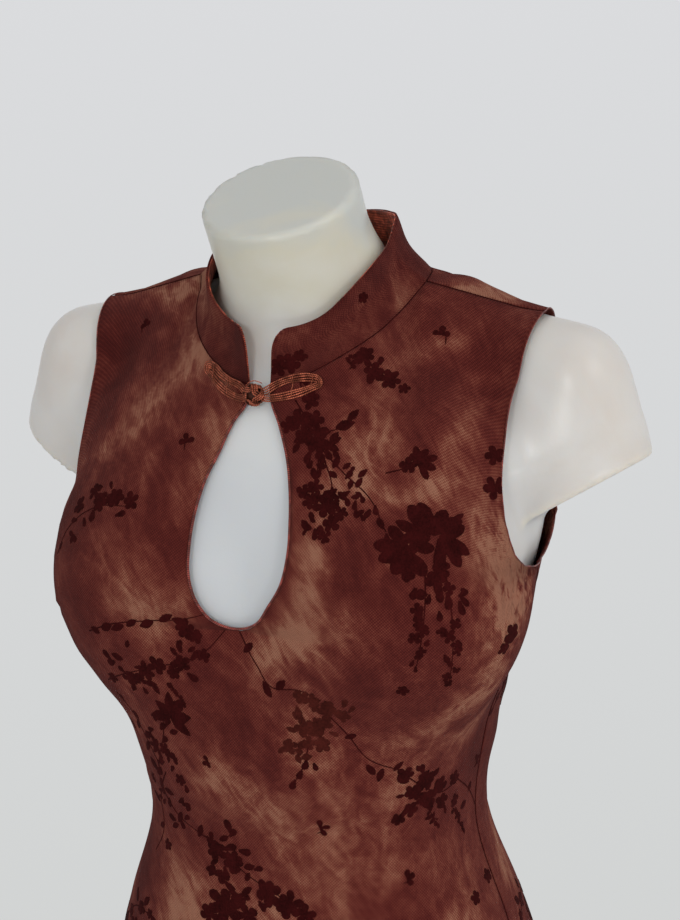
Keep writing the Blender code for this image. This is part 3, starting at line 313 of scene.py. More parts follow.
# Colours
NET_RAMP = (                  # place on the dye scale and colour
    (0.0, (0.06, 0.0088, 0.0082)),
    (0.28, (0.096, 0.014, 0.0116)),
    (0.52, (0.152, 0.0295, 0.0212)),
    (0.76, (0.232, 0.0675, 0.0425)),
    (1.0, (0.35, 0.15, 0.094)),
)
FLOCK_COLOUR = (0.023, 0.0023, 0.0023)
FADED_FLOCK_COLOUR = (0.038, 0.0064, 0.0046)
RUST_COLOUR = (0.235, 0.036, 0.014)
COPPER_COLOUR = (0.27, 0.064, 0.031)
BINDING_COLOUR = (0.15, 0.02, 0.012)
FLOCK_SHARES = 0.62, 2.1      # darkest and lightest flock, as shares of its colour
PLASTIC_RAMP = (
    (0.05, (0.645, 0.665, 0.68)), (0.46, (0.735, 0.735, 0.715)), (0.6, (0.705, 0.69, 0.62)),
    (0.76, (0.66, 0.63, 0.515)), (0.9, (0.58, 0.59, 0.55)),
)
BLUSH_RAMP = ((0.35, (0.655, 0.6, 0.545)), (0.65, (0.7, 0.675, 0.64)))
# the painted edge highlight along the arm rims
RIM_HIGHLIGHT_COLOUR = (0.82, 0.76, 0.64)
STEEL_RAMP = ((0.3, (0.46, 0.46, 0.45)), (0.7, (0.64, 0.64, 0.62)))
PAINT_RAMP = ((0.35, (0.6, 0.6, 0.59)), (0.65, (0.7, 0.7, 0.69)))
FLOOR_RAMP = ((0.3, (0.7, 0.71, 0.72)), (0.7, (0.74, 0.75, 0.76)))

# The shaders' own values
NET_SHADER = {
    "Roughness": 0.92, "Sheen_Weight": 0.05, "Sheen_Roughness": 0.5,
    "Sheen_Tint": (0.9, 0.5, 0.42, 1.0), "Specular_IOR_Level": 0.07,
}
FLOCK_SHADER = {
    "Roughness": 0.95, "Sheen_Weight": 0.04, "Sheen_Roughness": 0.4,
    "Sheen_Tint": (0.62, 0.16, 0.13, 1.0), "Specular_IOR_Level": 0.05,
}
PLASTIC_SHADER = {
    "Roughness": 0.31, "Subsurface_Weight": 0.35, "Subsurface_Scale": 0.012, "IOR": 1.46,
    "Subsurface_Radius": (1.0, 0.75, 0.55), "Specular_IOR_Level": 0.42,
}

# Bumps: distance and strength
NET_BUMP, FLOCK_BUMP, SATIN_BUMP = (0.0004, 0.9), (0.0002, 0.8), (0.00015, 0.7)
PLASTIC_BUMP, STEEL_BUMP, PAINT_BUMP = (0.0002, 0.25), (0.0001, 0.3), (0.00012, 0.3)
# Satins: colour, roughness, pitch of the turns, sheen, specular; then the painted shade and highlight of
# the turns and the painted shade's colour, as shares of the colour, and that shade's strength
RUST_SATIN = (RUST_COLOUR, 0.60, 0.0011, 0.05, 0.30)
BINDING_SATIN = (BINDING_COLOUR, 0.55, 0.0012, 0.2, 0.30)
COPPER_SATIN = (COPPER_COLOUR, 0.50, 0.0011, 0.0, 0.16)
SATIN_TURN_SHADE, SATIN_TURN_HIGHLIGHT, SATIN_SHADE_COLOUR_SHARE, SATIN_SHADE = 0.35, 2.9, 0.12, 0.95
# The form: heights and half widths over which its colour changes, and how strongly the painted edge
# highlight at its arm rims shows
NECK_TINT, ARM_TINT, RIM_HIGHLIGHT_SHARE = (1.30, 1.50), (0.11, 0.17), 0.75

# The net: pitch of its dots and of the collar's ribs, and noises as scale, detail, distortion, stretch
NET_PITCH, RIB_PITCH = 0.0019, 0.0011
STREAK_TILT = (0.25, 0.6, 0.0)
STREAK_NOISE, STREAK_RANGES = (120, 5.0, 0.9, (1.0, 1.0, 0.32)), (0.32, 0.68, 0.74, 1.26)
VEIN_NOISE, VEIN_SHARPNESS, VEIN_SHARE = (62, 6.0, 0.9, (1.0, 1.0, 0.42)), 2.5, 0.7
# The crease ridges: noise and sharpness for the bump, and their share of the colour, a painted highlight
FOLD_NOISE, FOLD_SHARPNESS, FOLD_HIGHLIGHT_SHARE = (130, 2.0, 1.6, (1.0, 1.0, 0.45)), 7.0, 0.3
BLOTCH_NOISE, BLOTCH_SHARE = (190, 3.0, 1.2, (1.0, 1.0, 0.5)), 2.3
DOT_SHARE, FOLD_HEIGHT = 0.2, 3.0
NET_MOTTLES = (               # share, then the noise
    (0.44, 30, 5.0, 1.0, (1.0, 1.0, 0.6)),
    (0.34, 105, 4.0, 0.6),
    (0.26, 520, 2.0),
)

# Flock motifs on the front where the photograph shows them: turn, height, size in mm, petals
BLOSSOMS = (
    (-54, 1.3, 12, 5), (-51, 1.31, 11, 5), (-47, 1.305, 13, 6), (-43, 1.309, 14, 6), (-38, 1.308, 12, 5),
    (-17, 1.235, 13, 5), (-14, 1.231, 10, 5), (-43, 1.195, 9, 5), (-36, 1.198, 12, 5), (-30, 1.205, 14, 6),
    (-26, 1.21, 13, 5), (-19, 1.213, 12, 5), (-12, 1.219, 9, 5), (-33, 1.199, 10, 5), (-22, 1.206, 10, 5),
    (-16, 1.09, 15, 6), (-9, 1.083, 16, 6), (-13, 1.054, 26, 6), (5, 1.067, 20, 6), (13, 1.061, 19, 6),
    (19, 1.056, 14, 5), (-20, 1.046, 16, 5), (-4, 1.05, 16, 5), (-40, 1.083, 9, 5), (-31, 1.152, 10, 5),
    (-26, 1.134, 9, 5), (19, 1.388, 14, 6), (22, 1.384, 9, 5), (20, 1.361, 13, 5), (25, 1.372, 12, 5),
    (27, 1.35, 17, 6), (22, 1.353, 12, 5), (16, 1.358, 11, 5), (26, 1.361, 12, 5), (24, 1.316, 11, 5),
    (29, 1.314, 17, 6), (30, 1.305, 12, 5), (22, 1.321, 10, 5), (26, 1.324, 10, 5), (28, 1.297, 9, 5),
    (33, 1.311, 9, 5), (50, 1.396, 13, 6), (52, 1.387, 13, 5), (56, 1.383, 14, 6), (59, 1.378, 8, 5),
    (52, 1.337, 11, 5), (55, 1.341, 12, 5), (72, 1.34, 12, 5), (70, 1.322, 14, 5), (72, 1.31, 9, 5),
    (69, 1.237, 15, 5), (67, 1.229, 10, 5), (45, 1.209, 8, 5), (51, 1.147, 12, 5), (58, 1.14, 13, 6),
    (54, 1.134, 12, 5), (65, 1.133, 13, 5), (72, 1.134, 10, 5), (54, 1.122, 12, 5), (50, 1.117, 10, 5),
    (61, 1.127, 12, 5), (58, 1.128, 10, 5), (67, 1.122, 11, 5), (74, 1.118, 9, 5), (97, 1.058, 16, 5),
    (92, 1.052, 14, 5), (77, 1.055, 10, 5), (93, 1.04, 14, 5), (93, 1.066, 12, 5), (87, 1.062, 10, 5),
)
LARGE_FLOWERS = (             # parts of flowers: turn, height, size in mm, petals, heading, arc
    (52.6, 1.3005, 34, 4, 80, 100), (54.0, 1.298, 31, 4, -36, 104), (52.0, 1.2985, 34, 3, 180, 50),
    (55.2, 1.3035, 31, 1, 38, 10), (46.8, 1.293, 31, 3, 164, 78), (47.0, 1.2912, 32, 4, 250, 104),
    (47.6, 1.2945, 27, 2, 20, 50), (54.5, 1.3385, 18, 5, 22, 150),
)
POINTED_FLOWERS = (           # turn, height, size in mm, petals, turned by, arc of the petals
    (-26, 1.176, 28, 6, 70, 230), (-35, 1.152, 14, 4, 200, 160),
)
FADED_BLOSSOMS = (
    (20, 1.2, 11, 5), (24, 1.198, 10, 5), (28, 1.194, 12, 5), (32, 1.19, 9, 5), (21, 1.18, 13, 5),
    (26, 1.17, 12, 5), (16, 1.168, 10, 5), (22, 1.17, 9, 5), (25, 1.182, 10, 5),
)
SPRIGS = (                    # turn, height, size in mm, heading
    (-82, 1.404, 8, 120), (-28, 1.344, 9, 100), (78, 1.407, 9, 80), (25, 1.114, 9, 15), (53, 1.078, 9, 20),
    (45, 1.395, 6, 60), (87, 1.137, 8, 40), (-51, 1.283, 9, 250), (43, 1.392, 7, 30), (-13, 1.151, 7, 200),
)
LEAVES = (                    # turn, height, length in mm, heading
    (-42, 1.228, 9, 160), (-38, 1.232, 10, 30), (-35, 1.233, 10, 190), (-31, 1.237, 9, 40),
    (-27, 1.237, 10, 200), (-22, 1.241, 9, 20), (-18, 1.24, 9, 150), (-10, 1.245, 9, 30),
    (29, 1.356, 10, 160), (37, 1.359, 12, 20), (33, 1.352, 9, 60), (40, 1.364, 9, 50), (9, 1.201, 10, 130),
    (-1, 1.237, 11, 140), (14, 1.206, 9, 50), (3, 1.226, 9, 230), (40, 1.153, 9, 130), (43, 1.149, 9, 250),
    (48, 1.154, 8, 60), (34, 1.176, 8, 200), (-5, 1.238, 9, 50), (-45, 1.112, 8, 150), (-38, 1.126, 8, 240),
    (-44, 1.094, 8, 200), (-31, 1.106, 9, 240), (-22, 1.1, 9, 60), (-12, 1.099, 8, 30), (-2, 1.083, 9, 20),
    (-49, 1.16, 8, 120), (-41, 1.15, 9, 220), (-43, 1.163, 8, 60), (72, 1.296, 11, 80), (80, 1.112, 8, 30),
    (92, 1.096, 8, 70), (96, 1.08, 9, 260), (84, 1.122, 7, 80), (28, 1.34, 8, 290), (33, 1.338, 8, 60),
    (39, 1.328, 8, 60), (42, 1.306, 8, 290), (36, 1.326, 7, 250), (19, 1.345, 8, 250), (27, 1.393, 8, 20),
    (20, 1.35, 8, 220),
)
BUDS = (                      # turn, height, length in mm, heading
    (-39, 1.158, 6, 100), (-42, 1.17, 6, 120), (-45, 1.18, 6, 110), (-36, 1.135, 6, 250),
    (-27, 1.147, 6, 300), (-24, 1.128, 6, 280), (-29, 1.14, 5, 60), (-34, 1.142, 6, 200),
    (27, 1.342, 6, 270), (31, 1.322, 6, 280), (27, 1.332, 6, 250), (35, 1.317, 6, 300), (24, 1.336, 6, 240),
    (37, 1.311, 6, 290), (43, 1.299, 5, 280), (39, 1.319, 5, 300), (21, 1.156, 7, 260), (19, 1.15, 6, 240),
    (17, 1.143, 7, 250), (24, 1.155, 6, 290), (-53, 1.291, 6, 200), (-56, 1.274, 6, 230),
    (-49, 1.292, 6, 300),
)
STEMS = (                     # turn, height from end to end
    ((-57, 1.268), (-54, 1.288), (-50, 1.298), (-46, 1.303), (-38, 1.305)),
    ((-44, 1.226), (-35, 1.235), (-26, 1.239), (-18, 1.241), (-8, 1.247)),
    ((-46, 1.192), (-38, 1.2), (-28, 1.208), (-15, 1.217), (-3, 1.24)),
    ((-28, 1.182), (-31, 1.16), (-36, 1.14), (-38, 1.122), (-31, 1.106), (-22, 1.098)),
    ((-22, 1.098), (-14, 1.094), (-6, 1.08), (2, 1.072), (12, 1.064)),
    ((-36, 1.14), (-41, 1.156), (-44, 1.174), (-46, 1.184)),
    ((-33, 1.136), (-42, 1.112), (-43, 1.09), (-49, 1.074)),
    ((-1, 1.238), (6, 1.216), (12, 1.203), (20, 1.204), (26, 1.199)),
    ((28, 1.19), (33, 1.178), (41, 1.158), (50, 1.15)),
    ((18, 1.372), (22, 1.364), (28, 1.355), (38, 1.358)), ((26, 1.352), (27, 1.338), (25, 1.322)),
    ((28, 1.346), (35, 1.332), (40, 1.322), (43, 1.302)), ((29, 1.34), (31, 1.326), (30, 1.312)),
    ((46, 1.333), (50, 1.335), (55, 1.339)), ((19, 1.386), (21, 1.378), (25, 1.372)),
    ((49, 1.397), (53, 1.388), (58, 1.381)), ((73, 1.134), (84, 1.119), (92, 1.099), (98, 1.07)),
    ((50, 1.148), (58, 1.136), (66, 1.128), (75, 1.132)), ((22, 1.168), (20, 1.154), (16, 1.141)),
    ((-16, 1.234), (-19, 1.24)),
)
TAILS = (                     # from turn, height to turn, height; size of the first blossoms
    (49.5, 1.281, 47, 1.222, 11.5), (53.5, 1.28, 54.5, 1.212, 11.5), (60, 1.124, 66, 1.104, 6.0),
    (74, 1.112, 80, 1.094, 5.5), (-24, 1.198, -20, 1.184, 5.0),
)
CLUSTERS = (                  # turn, height, reach in mm, leaves, their length in mm
    (27, 1.346, 17, 12, 8), (33, 1.326, 18, 14, 7), (39, 1.322, 13, 10, 6), (25, 1.305, 9, 7, 7),
    (57, 1.134, 22, 18, 7), (65, 1.122, 13, 8, 6), (-34, 1.203, 20, 12, 8), (-18, 1.214, 13, 7, 7),
    (-32, 1.158, 17, 14, 7), (-38, 1.126, 16, 12, 7), (-30, 1.106, 15, 9, 7), (-12, 1.088, 22, 14, 8),
    (-3, 1.07, 18, 12, 8), (94, 1.06, 16, 10, 7), (54, 1.389, 12, 6, 7), (-44, 1.306, 16, 7, 7),
    (53, 1.268, 12, 8, 7),
)
FADED_CLUSTERS = (
    (23, 1.178, 16, 16, 8), (30, 1.192, 10, 7, 7), (18, 1.164, 10, 7, 7),
)
COLLAR_MARKS = (              # turn, height, size in mm, petals
    (10, 1.391, 13, 5), (15, 1.393, 12, 5), (20, 1.397, 8, 5), (54, 1.43, 8, 5),
)
# A spray for the places that the photograph doesn't show, in mm from its middle
SPRAY_STEMS = (
    ((-50, 2), (-36, 13), (-16, 14), (6, 5), (24, -8), (37, -27)),
    ((-16, 14), (-4, 22), (12, 27), (26, 25)), ((-36, 13), (-43, 23), (-44, 32)),
)
SPRAY_BLOSSOMS = (            # x, y, size, petals
    (-13, 10, 17, 6), (0, 3, 21, 6), (12, -4, 14, 5), (6, 13, 14, 5), (-24, 17, 12, 5), (-34, 15, 9, 5),
    (16, 27, 10, 5), (-12, -2, 12, 5), (20, -10, 12, 5), (-45, 9, 8, 5), (28, 25, 7, 5), (-2, 22, 9, 5),
    (28, -15, 9, 5),
)
SPRAY_LEAVES = (              # x, y, length, heading
    (-44, 24, 9, 60), (-52, -1, 9, 220), (-28, 24, 9, 80), (8, 33, 8, 100), (24, 32, 9, 40),
    (32, -9, 10, 20), (-20, 3, 10, 250), (-31, 6, 8, 250), (-46, 34, 7, 110), (18, 4, 9, 30),
    (33, 22, 8, 330),
)
SPRAY_TAILS = (               # x, y to x, y; size of the first blossoms
    (18, -12, 24, -52, 9.0), (7, -12, 9, -42, 8.0), (35, -22, 42, -46, 6.5),
)
SPRAY_PLACES = (              # turn, height, heading, scale, side (-1 mirrored)
    (-60, 1.0, 8, 1.1, 1), (-20, 0.965, -12, 1.3, 1), (32, 0.99, 10, 1.2, -1), (70, 0.96, -4, 1.1, 1),
    (2, 0.855, 16, 1.3, -1), (-48, 0.85, -6, 1.2, -1), (48, 0.84, 4, 1.3, 1), (-74, 0.74, 24, 1.1, 1),
    (-18, 0.735, 0, 1.3, 1), (26, 0.72, -14, 1.3, -1), (66, 0.705, 12, 1.1, -1), (-46, 0.62, -8, 1.3, -1),
    (4, 0.6, 14, 1.2, 1), (46, 0.575, -2, 1.3, -1), (-68, 0.5, 6, 1.1, 1), (-22, 0.475, -10, 1.2, 1),
    (22, 0.46, 8, 1.2, -1), (68, 0.465, -12, 1.1, 1), (102, 1.39, -16, 0.8, 1), (150, 1.375, 6, 1.1, -1),
    (-158, 1.36, -8, 1.1, 1), (-112, 1.33, 24, 0.8, -1), (124, 1.3, 28, 0.9, 1), (172, 1.27, -4, 1.2, 1),
    (-134, 1.25, 10, 1.1, -1), (146, 1.195, -14, 1.1, -1), (-168, 1.15, 12, 1.1, 1), (112, 1.17, 4, 0.9, 1),
    (-116, 1.15, -20, 0.9, 1), (158, 1.07, 8, 1.1, 1), (-146, 1.04, -6, 1.1, -1), (116, 1.01, 18, 1.1, -1),
    (178, 0.95, 0, 1.3, 1), (-114, 0.92, 12, 1.2, 1), (136, 0.9, -10, 1.2, 1), (-150, 0.82, 6, 1.3, -1),
    (104, 0.79, -24, 1.1, -1), (162, 0.76, 14, 1.3, 1), (-114, 0.68, 0, 1.2, -1), (130, 0.63, 8, 1.2, -1),
    (-166, 0.6, -12, 1.3, 1), (152, 0.48, 10, 1.2, -1),
)
SCATTERED_SPRIGS = (          # turn, height
    (-2, 1.0), (52, 1.03), (-40, 0.93), (16, 0.9), (-84, 0.9), (84, 0.88), (-24, 0.66), (60, 0.63),
    (-4, 0.52), (32, 0.64), (-56, 0.7), (130, 1.36), (-178, 1.32), (-140, 1.3), (100, 1.25), (170, 1.2),
    (-120, 1.22), (134, 1.12), (-176, 1.06), (-128, 0.99), (150, 0.98), (170, 0.86), (-130, 0.76),
    (120, 0.74), (150, 0.58), (-146, 0.56),
)
# Petal outlines: share of the length, half width as a share of the width
ROUND_PETAL = ((0.0, 0.16), (0.24, 0.3), (0.48, 0.45), (0.7, 0.52), (0.9, 0.38), (1.0, 0.12))
SOFT_PETAL = ((0.0, 0.16), (0.24, 0.33), (0.5, 0.49), (0.75, 0.5), (0.92, 0.3), (1.0, 0.08))
POINTED_PETAL = ((0.0, 0.1), (0.16, 0.34), (0.4, 0.5), (0.65, 0.45), (0.86, 0.24), (1.0, 0.04))
FLOCK_RIM = 0.0002
FLOCK_MIDDLE = 0.00026
PETAL_LIFT = 0.00014          # how far petals of one flower may lie above each other
FLOCK_UNDERSIDE = -0.0002
STEM_WIDTH = 0.0009
STEM_TAPER = 0.45
PETAL_FILL = 0.62             # a petal's width as a share of its slice of the flower
FAN_LENGTH, FAN_OVERLAP = 0.6, 1.05
LEAF_PLUMP, BUD_PLUMP, LARGE_PLUMP = 0.54, 0.62, 0.26      # width as a share of the length
# How far motifs vary: degrees, shares of the length, and ranges of shares
PETAL_TURN, PETAL_BEND = 7, 0.12
PETAL_LENGTHS, PETAL_WIDTHS, PETAL_EDGES = (0.82, 1.12), (0.88, 1.08), (0.93, 1.07)
STEM_WIDTHS, STEM_SAMPLES, STEM_CROWN = (0.85, 1.15), 60, 0.8
SPRIG_SIZE, SPRIG_PETALS, SPRIG_ARC, SPRIG_PLUMP = 1.05, 3, 150, 0.4
SPRIG_DROP, SPRIG_STEM, SPRIG_STEM_PLUMP = 0.0006, 0.75, 0.13
TAIL_STEP, TAIL_SHRINK, TAIL_JITTER = 0.00034, 0.52, 0.001
TAIL_ASIDE, TAIL_NARROWING, TAIL_SIZE = 2.6, 2.0, 8.5      # degrees, for blossoms of that size
TAIL_SIZES, TAIL_BLOSSOMS = (0.75, 1.1), 0.55
TAIL_BUD, TAIL_BUD_HEADINGS, TAIL_BUD_PLUMP = 0.8, (210, 330), 0.6
CLUSTER_LEAN, CLUSTER_SIZES, CLUSTER_PLUMP = 50, (0.7, 1.2), 0.56
STEM_STEP = 0.003
GIRTH_RADIUS = 0.13           # turns a distance round the body into a turn for the sprays

section_table = np.array(SECTIONS)


# --- The figure ---------------------------------------------------------------------------

def unit(vectors):
    """The same directions, each one long."""
    return vectors / np.linalg.norm(vectors, axis=-1, keepdims=True)


def mirrored(points):
    """The same points, all on the wearer's left."""
    return np.concatenate([np.abs(points[:, :1]), points[:, 1:]], axis=1)


def smooth_through(knots, values, at):
    """A smooth curve through a table's values, read at any place between its knots."""
    steps = np.diff(knots)
    slopes = np.diff(values) / steps
    tangents = np.empty_like(values)
    tangents[1:-1] = (slopes[:-1] * steps[1:] + slopes[1:] * steps[:-1]) / (knots[2:] - knots[:-2])
    tangents[0] = slopes[0]
    tangents[-1] = slopes[-1]
    at = np.clip(at, knots[0], knots[-1])
    low = np.clip(np.searchsorted(knots, at) - 1, 0, len(knots) - 2)
    step = steps[low]
    s = (at - knots[low]) / step
    return (
        (1 + 2 * s) * (1 - s) ** 2 * values[low]
        + s * (1 - s) ** 2 * step * tangents[low]
        + s * s * (3 - 2 * s) * values[low + 1]
        + s * s * (s - 1) * step * tangents[low + 1]
    )


def soft_union(a, b, reach):
    share = np.clip(0.5 + 0.5 * (b - a) / reach, 0, 1)
    return b + (a - b) * share - reach * share * (1 - share)


def ellipsoid(points, centre, radii):
    offset = (points - np.array(centre)) / np.array(radii)
    size = np.linalg.norm(offset, axis=1)
    steepness = np.linalg.norm(offset / np.array(radii), axis=1)
    return size * (size - 1) / np.maximum(steepness, 1e-9)


def cone(points, start, end, start_radius, end_radius, low=0.0, high=1.0):
    start = np.array(start)
    axis = np.array(end) - start
    along = np.clip((points - start) @ axis / (axis @ axis), low, high)
    away = np.linalg.norm(points - start - along[:, None] * axis, axis=1)
    return away - (start_radius + (end_radius - start_radius) * along)


def arm_cut_height(points):
    """Above nought on the cut-away side of the flat face under each shoulder cap."""
    (x0, z0), (x1, z1) = ARM_CUT
    run, rise = x1 - x0, z1 - z0
    return ((np.abs(points[:, 0]) - x0) * rise - (points[:, 2] - z0) * run) / math.hypot(run, rise)


def figure(points, blends, rounding=None):
    """Nought on the figure's skin, above nought outside it."""
    points = mirrored(points)
    x, y, z = points.T
    heights = section_table[:, 0]
    width, front, back, squareness = (
        smooth_through(heights, section_table[:, column], z) for column in (1, 2, 3, 4)
    )
    depth = front + (back - front) * (0.5 + 0.5 * np.tanh(y / SIDE_SOFTENING))
    reach = ((x / width) ** squareness + (np.abs(y) / depth) ** squareness) ** (1 / squareness)
    skin = (reach - 1) * depth + np.maximum(z - heights[-1], 0)
    skin = soft_union(skin, ellipsoid(points, BUST_CENTRE, BUST_RADII), blends["bust"])
    shoulder = cone(
        points, SHOULDER_INNER, SHOULDER_OUTER, SHOULDER_INNER_RADIUS, SHOULDER_OUTER_RADIUS
    )
    skin = soft_union(skin, shoulder, SHOULDER_BLEND)
    arm, cut = ellipsoid(points, ARM_CENTRE, ARM_RADII), arm_cut_height(points)
    arm = -soft_union(-arm, -cut, rounding) if rounding else np.maximum(arm, cut)
    share = np.clip(-cut / ARM_BLEND_START, 0, 1)
    skin = soft_union(skin, arm, ARM_BLEND_AT_CUT + (ARM_BLEND - ARM_BLEND_AT_CUT) * share)
    neck = cone(points, NECK_BASE, NECK_CAP, NECK_BASE_RADIUS, NECK_TOP_RADIUS, *NECK_RUN)
    return soft_union(skin, neck, blends["neck"])


def slope_of(field, points):
    """How fast a field grows along each axis at each point."""
    return np.stack(
        [field(points + offset) - field(points - offset) for offset in np.eye(3) * SLOPE_STEP],
        axis=1,
    ) / (2 * SLOPE_STEP)


def distance_and_normal(points, blends):
    """The distance of each point from the figure, and the way that leads off it."""
    slope = slope_of(lambda places: figure(places, blends), points)
    steepness = np.maximum(np.linalg.norm(slope, axis=1), 1e-6)
    return figure(points, blends) / steepness, slope / steepness[:, None]


def lay(points, offset=OUTER, blends=CLOTH_BLENDS):
    """Moves points straight off or onto the figure until they lie offset from it."""
    points = np.array(points, float)
    for _ in range(LAYING_PASSES):
        away, normal = distance_and_normal(points, blends)
        points += normal * np.clip(offset - away, -LONGEST_MOVE, LONGEST_MOVE)[:, None]
    return points


def slide(points, directions, offset=OUTER):
    """Moves points only along the given directions until they lie offset from the figure."""
    points = np.array(points, float)
    for _ in range(LAYING_PASSES):
        away, normal = distance_and_normal(points, CLOTH_BLENDS)
        facing = np.maximum(np.sum(normal * directions, axis=1), LEAST_FACING)
        move = np.clip((offset - away) / facing, -LONGEST_MOVE, LONGEST_MOVE)
        points += directions * move[:, None]
    return points


def stand_off(points):
    """How far points lie beyond the closest place that the cloth may take."""
    away, _ = distance_and_normal(np.array(points, float), CLOTH_BLENDS)
    return np.maximum(away - OUTER, 0)


def settle(points, spare=0.0):
    """Keeps an edge where it is, but pushes it out of the figure where it would touch."""
    return lay(points, OUTER + np.maximum(stand_off(points), spare))


# --- Lines --------------------------------------------------------------------------------

def arc_lengths(points):
    return np.concatenate(([0.0], np.cumsum(np.linalg.norm(np.diff(points, axis=0), axis=1))))


def at_fractions(points, fractions):
    lengths = arc_lengths(points)
    places = np.array(fractions) * lengths[-1]
    return np.stack([np.interp(places, lengths, points[:, axis]) for axis in range(3)], axis=1)


def smooth_line(table, samples=DENSE_SAMPLES):
    """A dense smooth line through a table's points."""
    knots = np.array(table, float)
    lengths = arc_lengths(knots)
    at = np.linspace(0, lengths[-1], samples)
    return np.stack([smooth_through(lengths, knots[:, axis], at) for axis in range(3)], axis=1)


def on_side(points, side):
    """A line given for the wearer's left (side 1), or its mirror image (side -1)."""
    return np.array(points, float) * np.array((side, 1.0, 1.0))


def slit_opening(height):
    return SLIT_OPENING * np.clip((SLIT_TOP - height) / (SLIT_TOP - HEM), 0, 1)


def rings(heights, side, face, fractions):
    """Level lines on a panel from its middle to its side seam; face is -1 front, 1 back."""
    turns = np.linspace(0, math.pi / 2, RING_SAMPLES)
    directions = np.stack(
        [side * np.sin(turns), face * np.cos(turns), np.zeros_like(turns)], axis=1
    )
    directions[0, 0] = 0.0
    start = np.tile(directions * START_RADIUS, (len(heights), 1))
    start[:, 2] = np.repeat(heights, RING_SAMPLES)
    lines = slide(start, np.tile(directions, (len(heights), 1)))
    found = []
    for height, line in zip(heights, lines.reshape(len(heights), RING_SAMPLES, 3)):
        edge = SEAM_GAP / 2 + slit_opening(height)
        cut = np.interp(edge, (face * line[:, 1])[::-1], np.arange(RING_SAMPLES)[::-1])
        whole = int(cut)
        last = line[whole] + (line[min(whole + 1, RING_SAMPLES - 1)] - line[whole]) * (cut - whole)
        found.append(at_fractions(np.vstack([line[:whole + 1], last]), fractions))
    return np.array(found)


def keyhole_edge(side, spacing):
    """The keyhole's edge from its lowest point up to the throat, moved outwards by spacing."""
    throat = (NECKLINE_FRONT[0][0] - PANEL_BESIDE_KEYHOLE, 0.0, NECKLINE_FRONT[0][2])
    right = [(x, 0.0, z) for z, x, _ in KEYHOLE] + [on_side(throat, -1)]
    left = [(x, 0.0, z) for z, _, x in KEYHOLE] + [throat]
    knots = np.array(right[:0:-1] + left)
    lengths = arc_lengths(knots)
    at = np.linspace(0, lengths[-1], 4 * DENSE_SAMPLES)
    at = np.sort(np.append(at, lengths[len(KEYHOLE)]))
    line = np.stack([smooth_through(lengths, knots[:, axis], at) for axis in range(3)], axis=1)
    run = unit(np.gradient(line, axis=0))
    moved = line + np.stack([run[:, 2], np.zeros(len(run)), -run[:, 0]], axis=1) * spacing
    lowest = int(np.searchsorted(at, lengths[len(KEYHOLE)]))
    moved = moved[lowest:] if side > 0 else moved[lowest::-1]
    moved[:, 1] = -START_RADIUS
    return slide(moved, np.tile((0.0, -1.0, 0.0), (len(moved), 1)))


def shoulder_seam(side, face):
    """The shoulder seam's edge on one panel, from the neck to the arm."""
    ends = np.array((NECKLINE_FRONT[-1], ARMHOLE_FRONT[-1]))
    seam = settle(on_side(smooth_line(ends), side))
    _, normal = distance_and_normal(seam, CLOTH_BLENDS)
    towards_back = unit(np.cross(normal, np.gradient(seam, axis=0)) * side)
    return seam + towards_back * (face * SEAM_GAP / 2)


def upper_patch(bottom, centre, outer, top):
    """Cloth between four edges, laid on the figure and easing out to edges that stand off."""
    rows, columns = len(centre), len(bottom)
    across = np.linspace(0, 1, columns)[None, :, None]
    up = np.linspace(0, 1, rows)[:, None, None]
    grid = (1 - up) * bottom[None] + up * top[None]
    grid = grid + (1 - across) * centre[:, None] + across * outer[:, None]
    grid -= (1 - up) * ((1 - across) * bottom[0] + across * bottom[-1])
    grid -= up * ((1 - across) * top[0] + across * top[-1])
    ease = np.maximum(
        (1 - across[..., 0]) ** EASE_POWER * stand_off(centre)[:, None],
        across[..., 0] ** EASE_POWER * stand_off(outer)[:, None],
    )
    ease = np.maximum(ease, up[..., 0] ** EASE_POWER * stand_off(top)[None, :])
    inner = (slice(1, rows - 1), slice(1, columns - 1))
    for _ in range(SMOOTHING_PASSES):
        level = grid[1:-1, :-2] + grid[1:-1, 2:] + grid[:-2, 1:-1] + grid[2:, 1:-1]
        grid[inner] = 0.5 * grid[inner] + 0.125 * level
        laid = lay(grid[inner].reshape(-1, 3), OUTER + ease[inner].reshape(-1))
        grid[inner] = laid.reshape(grid[inner].shape)
    return grid


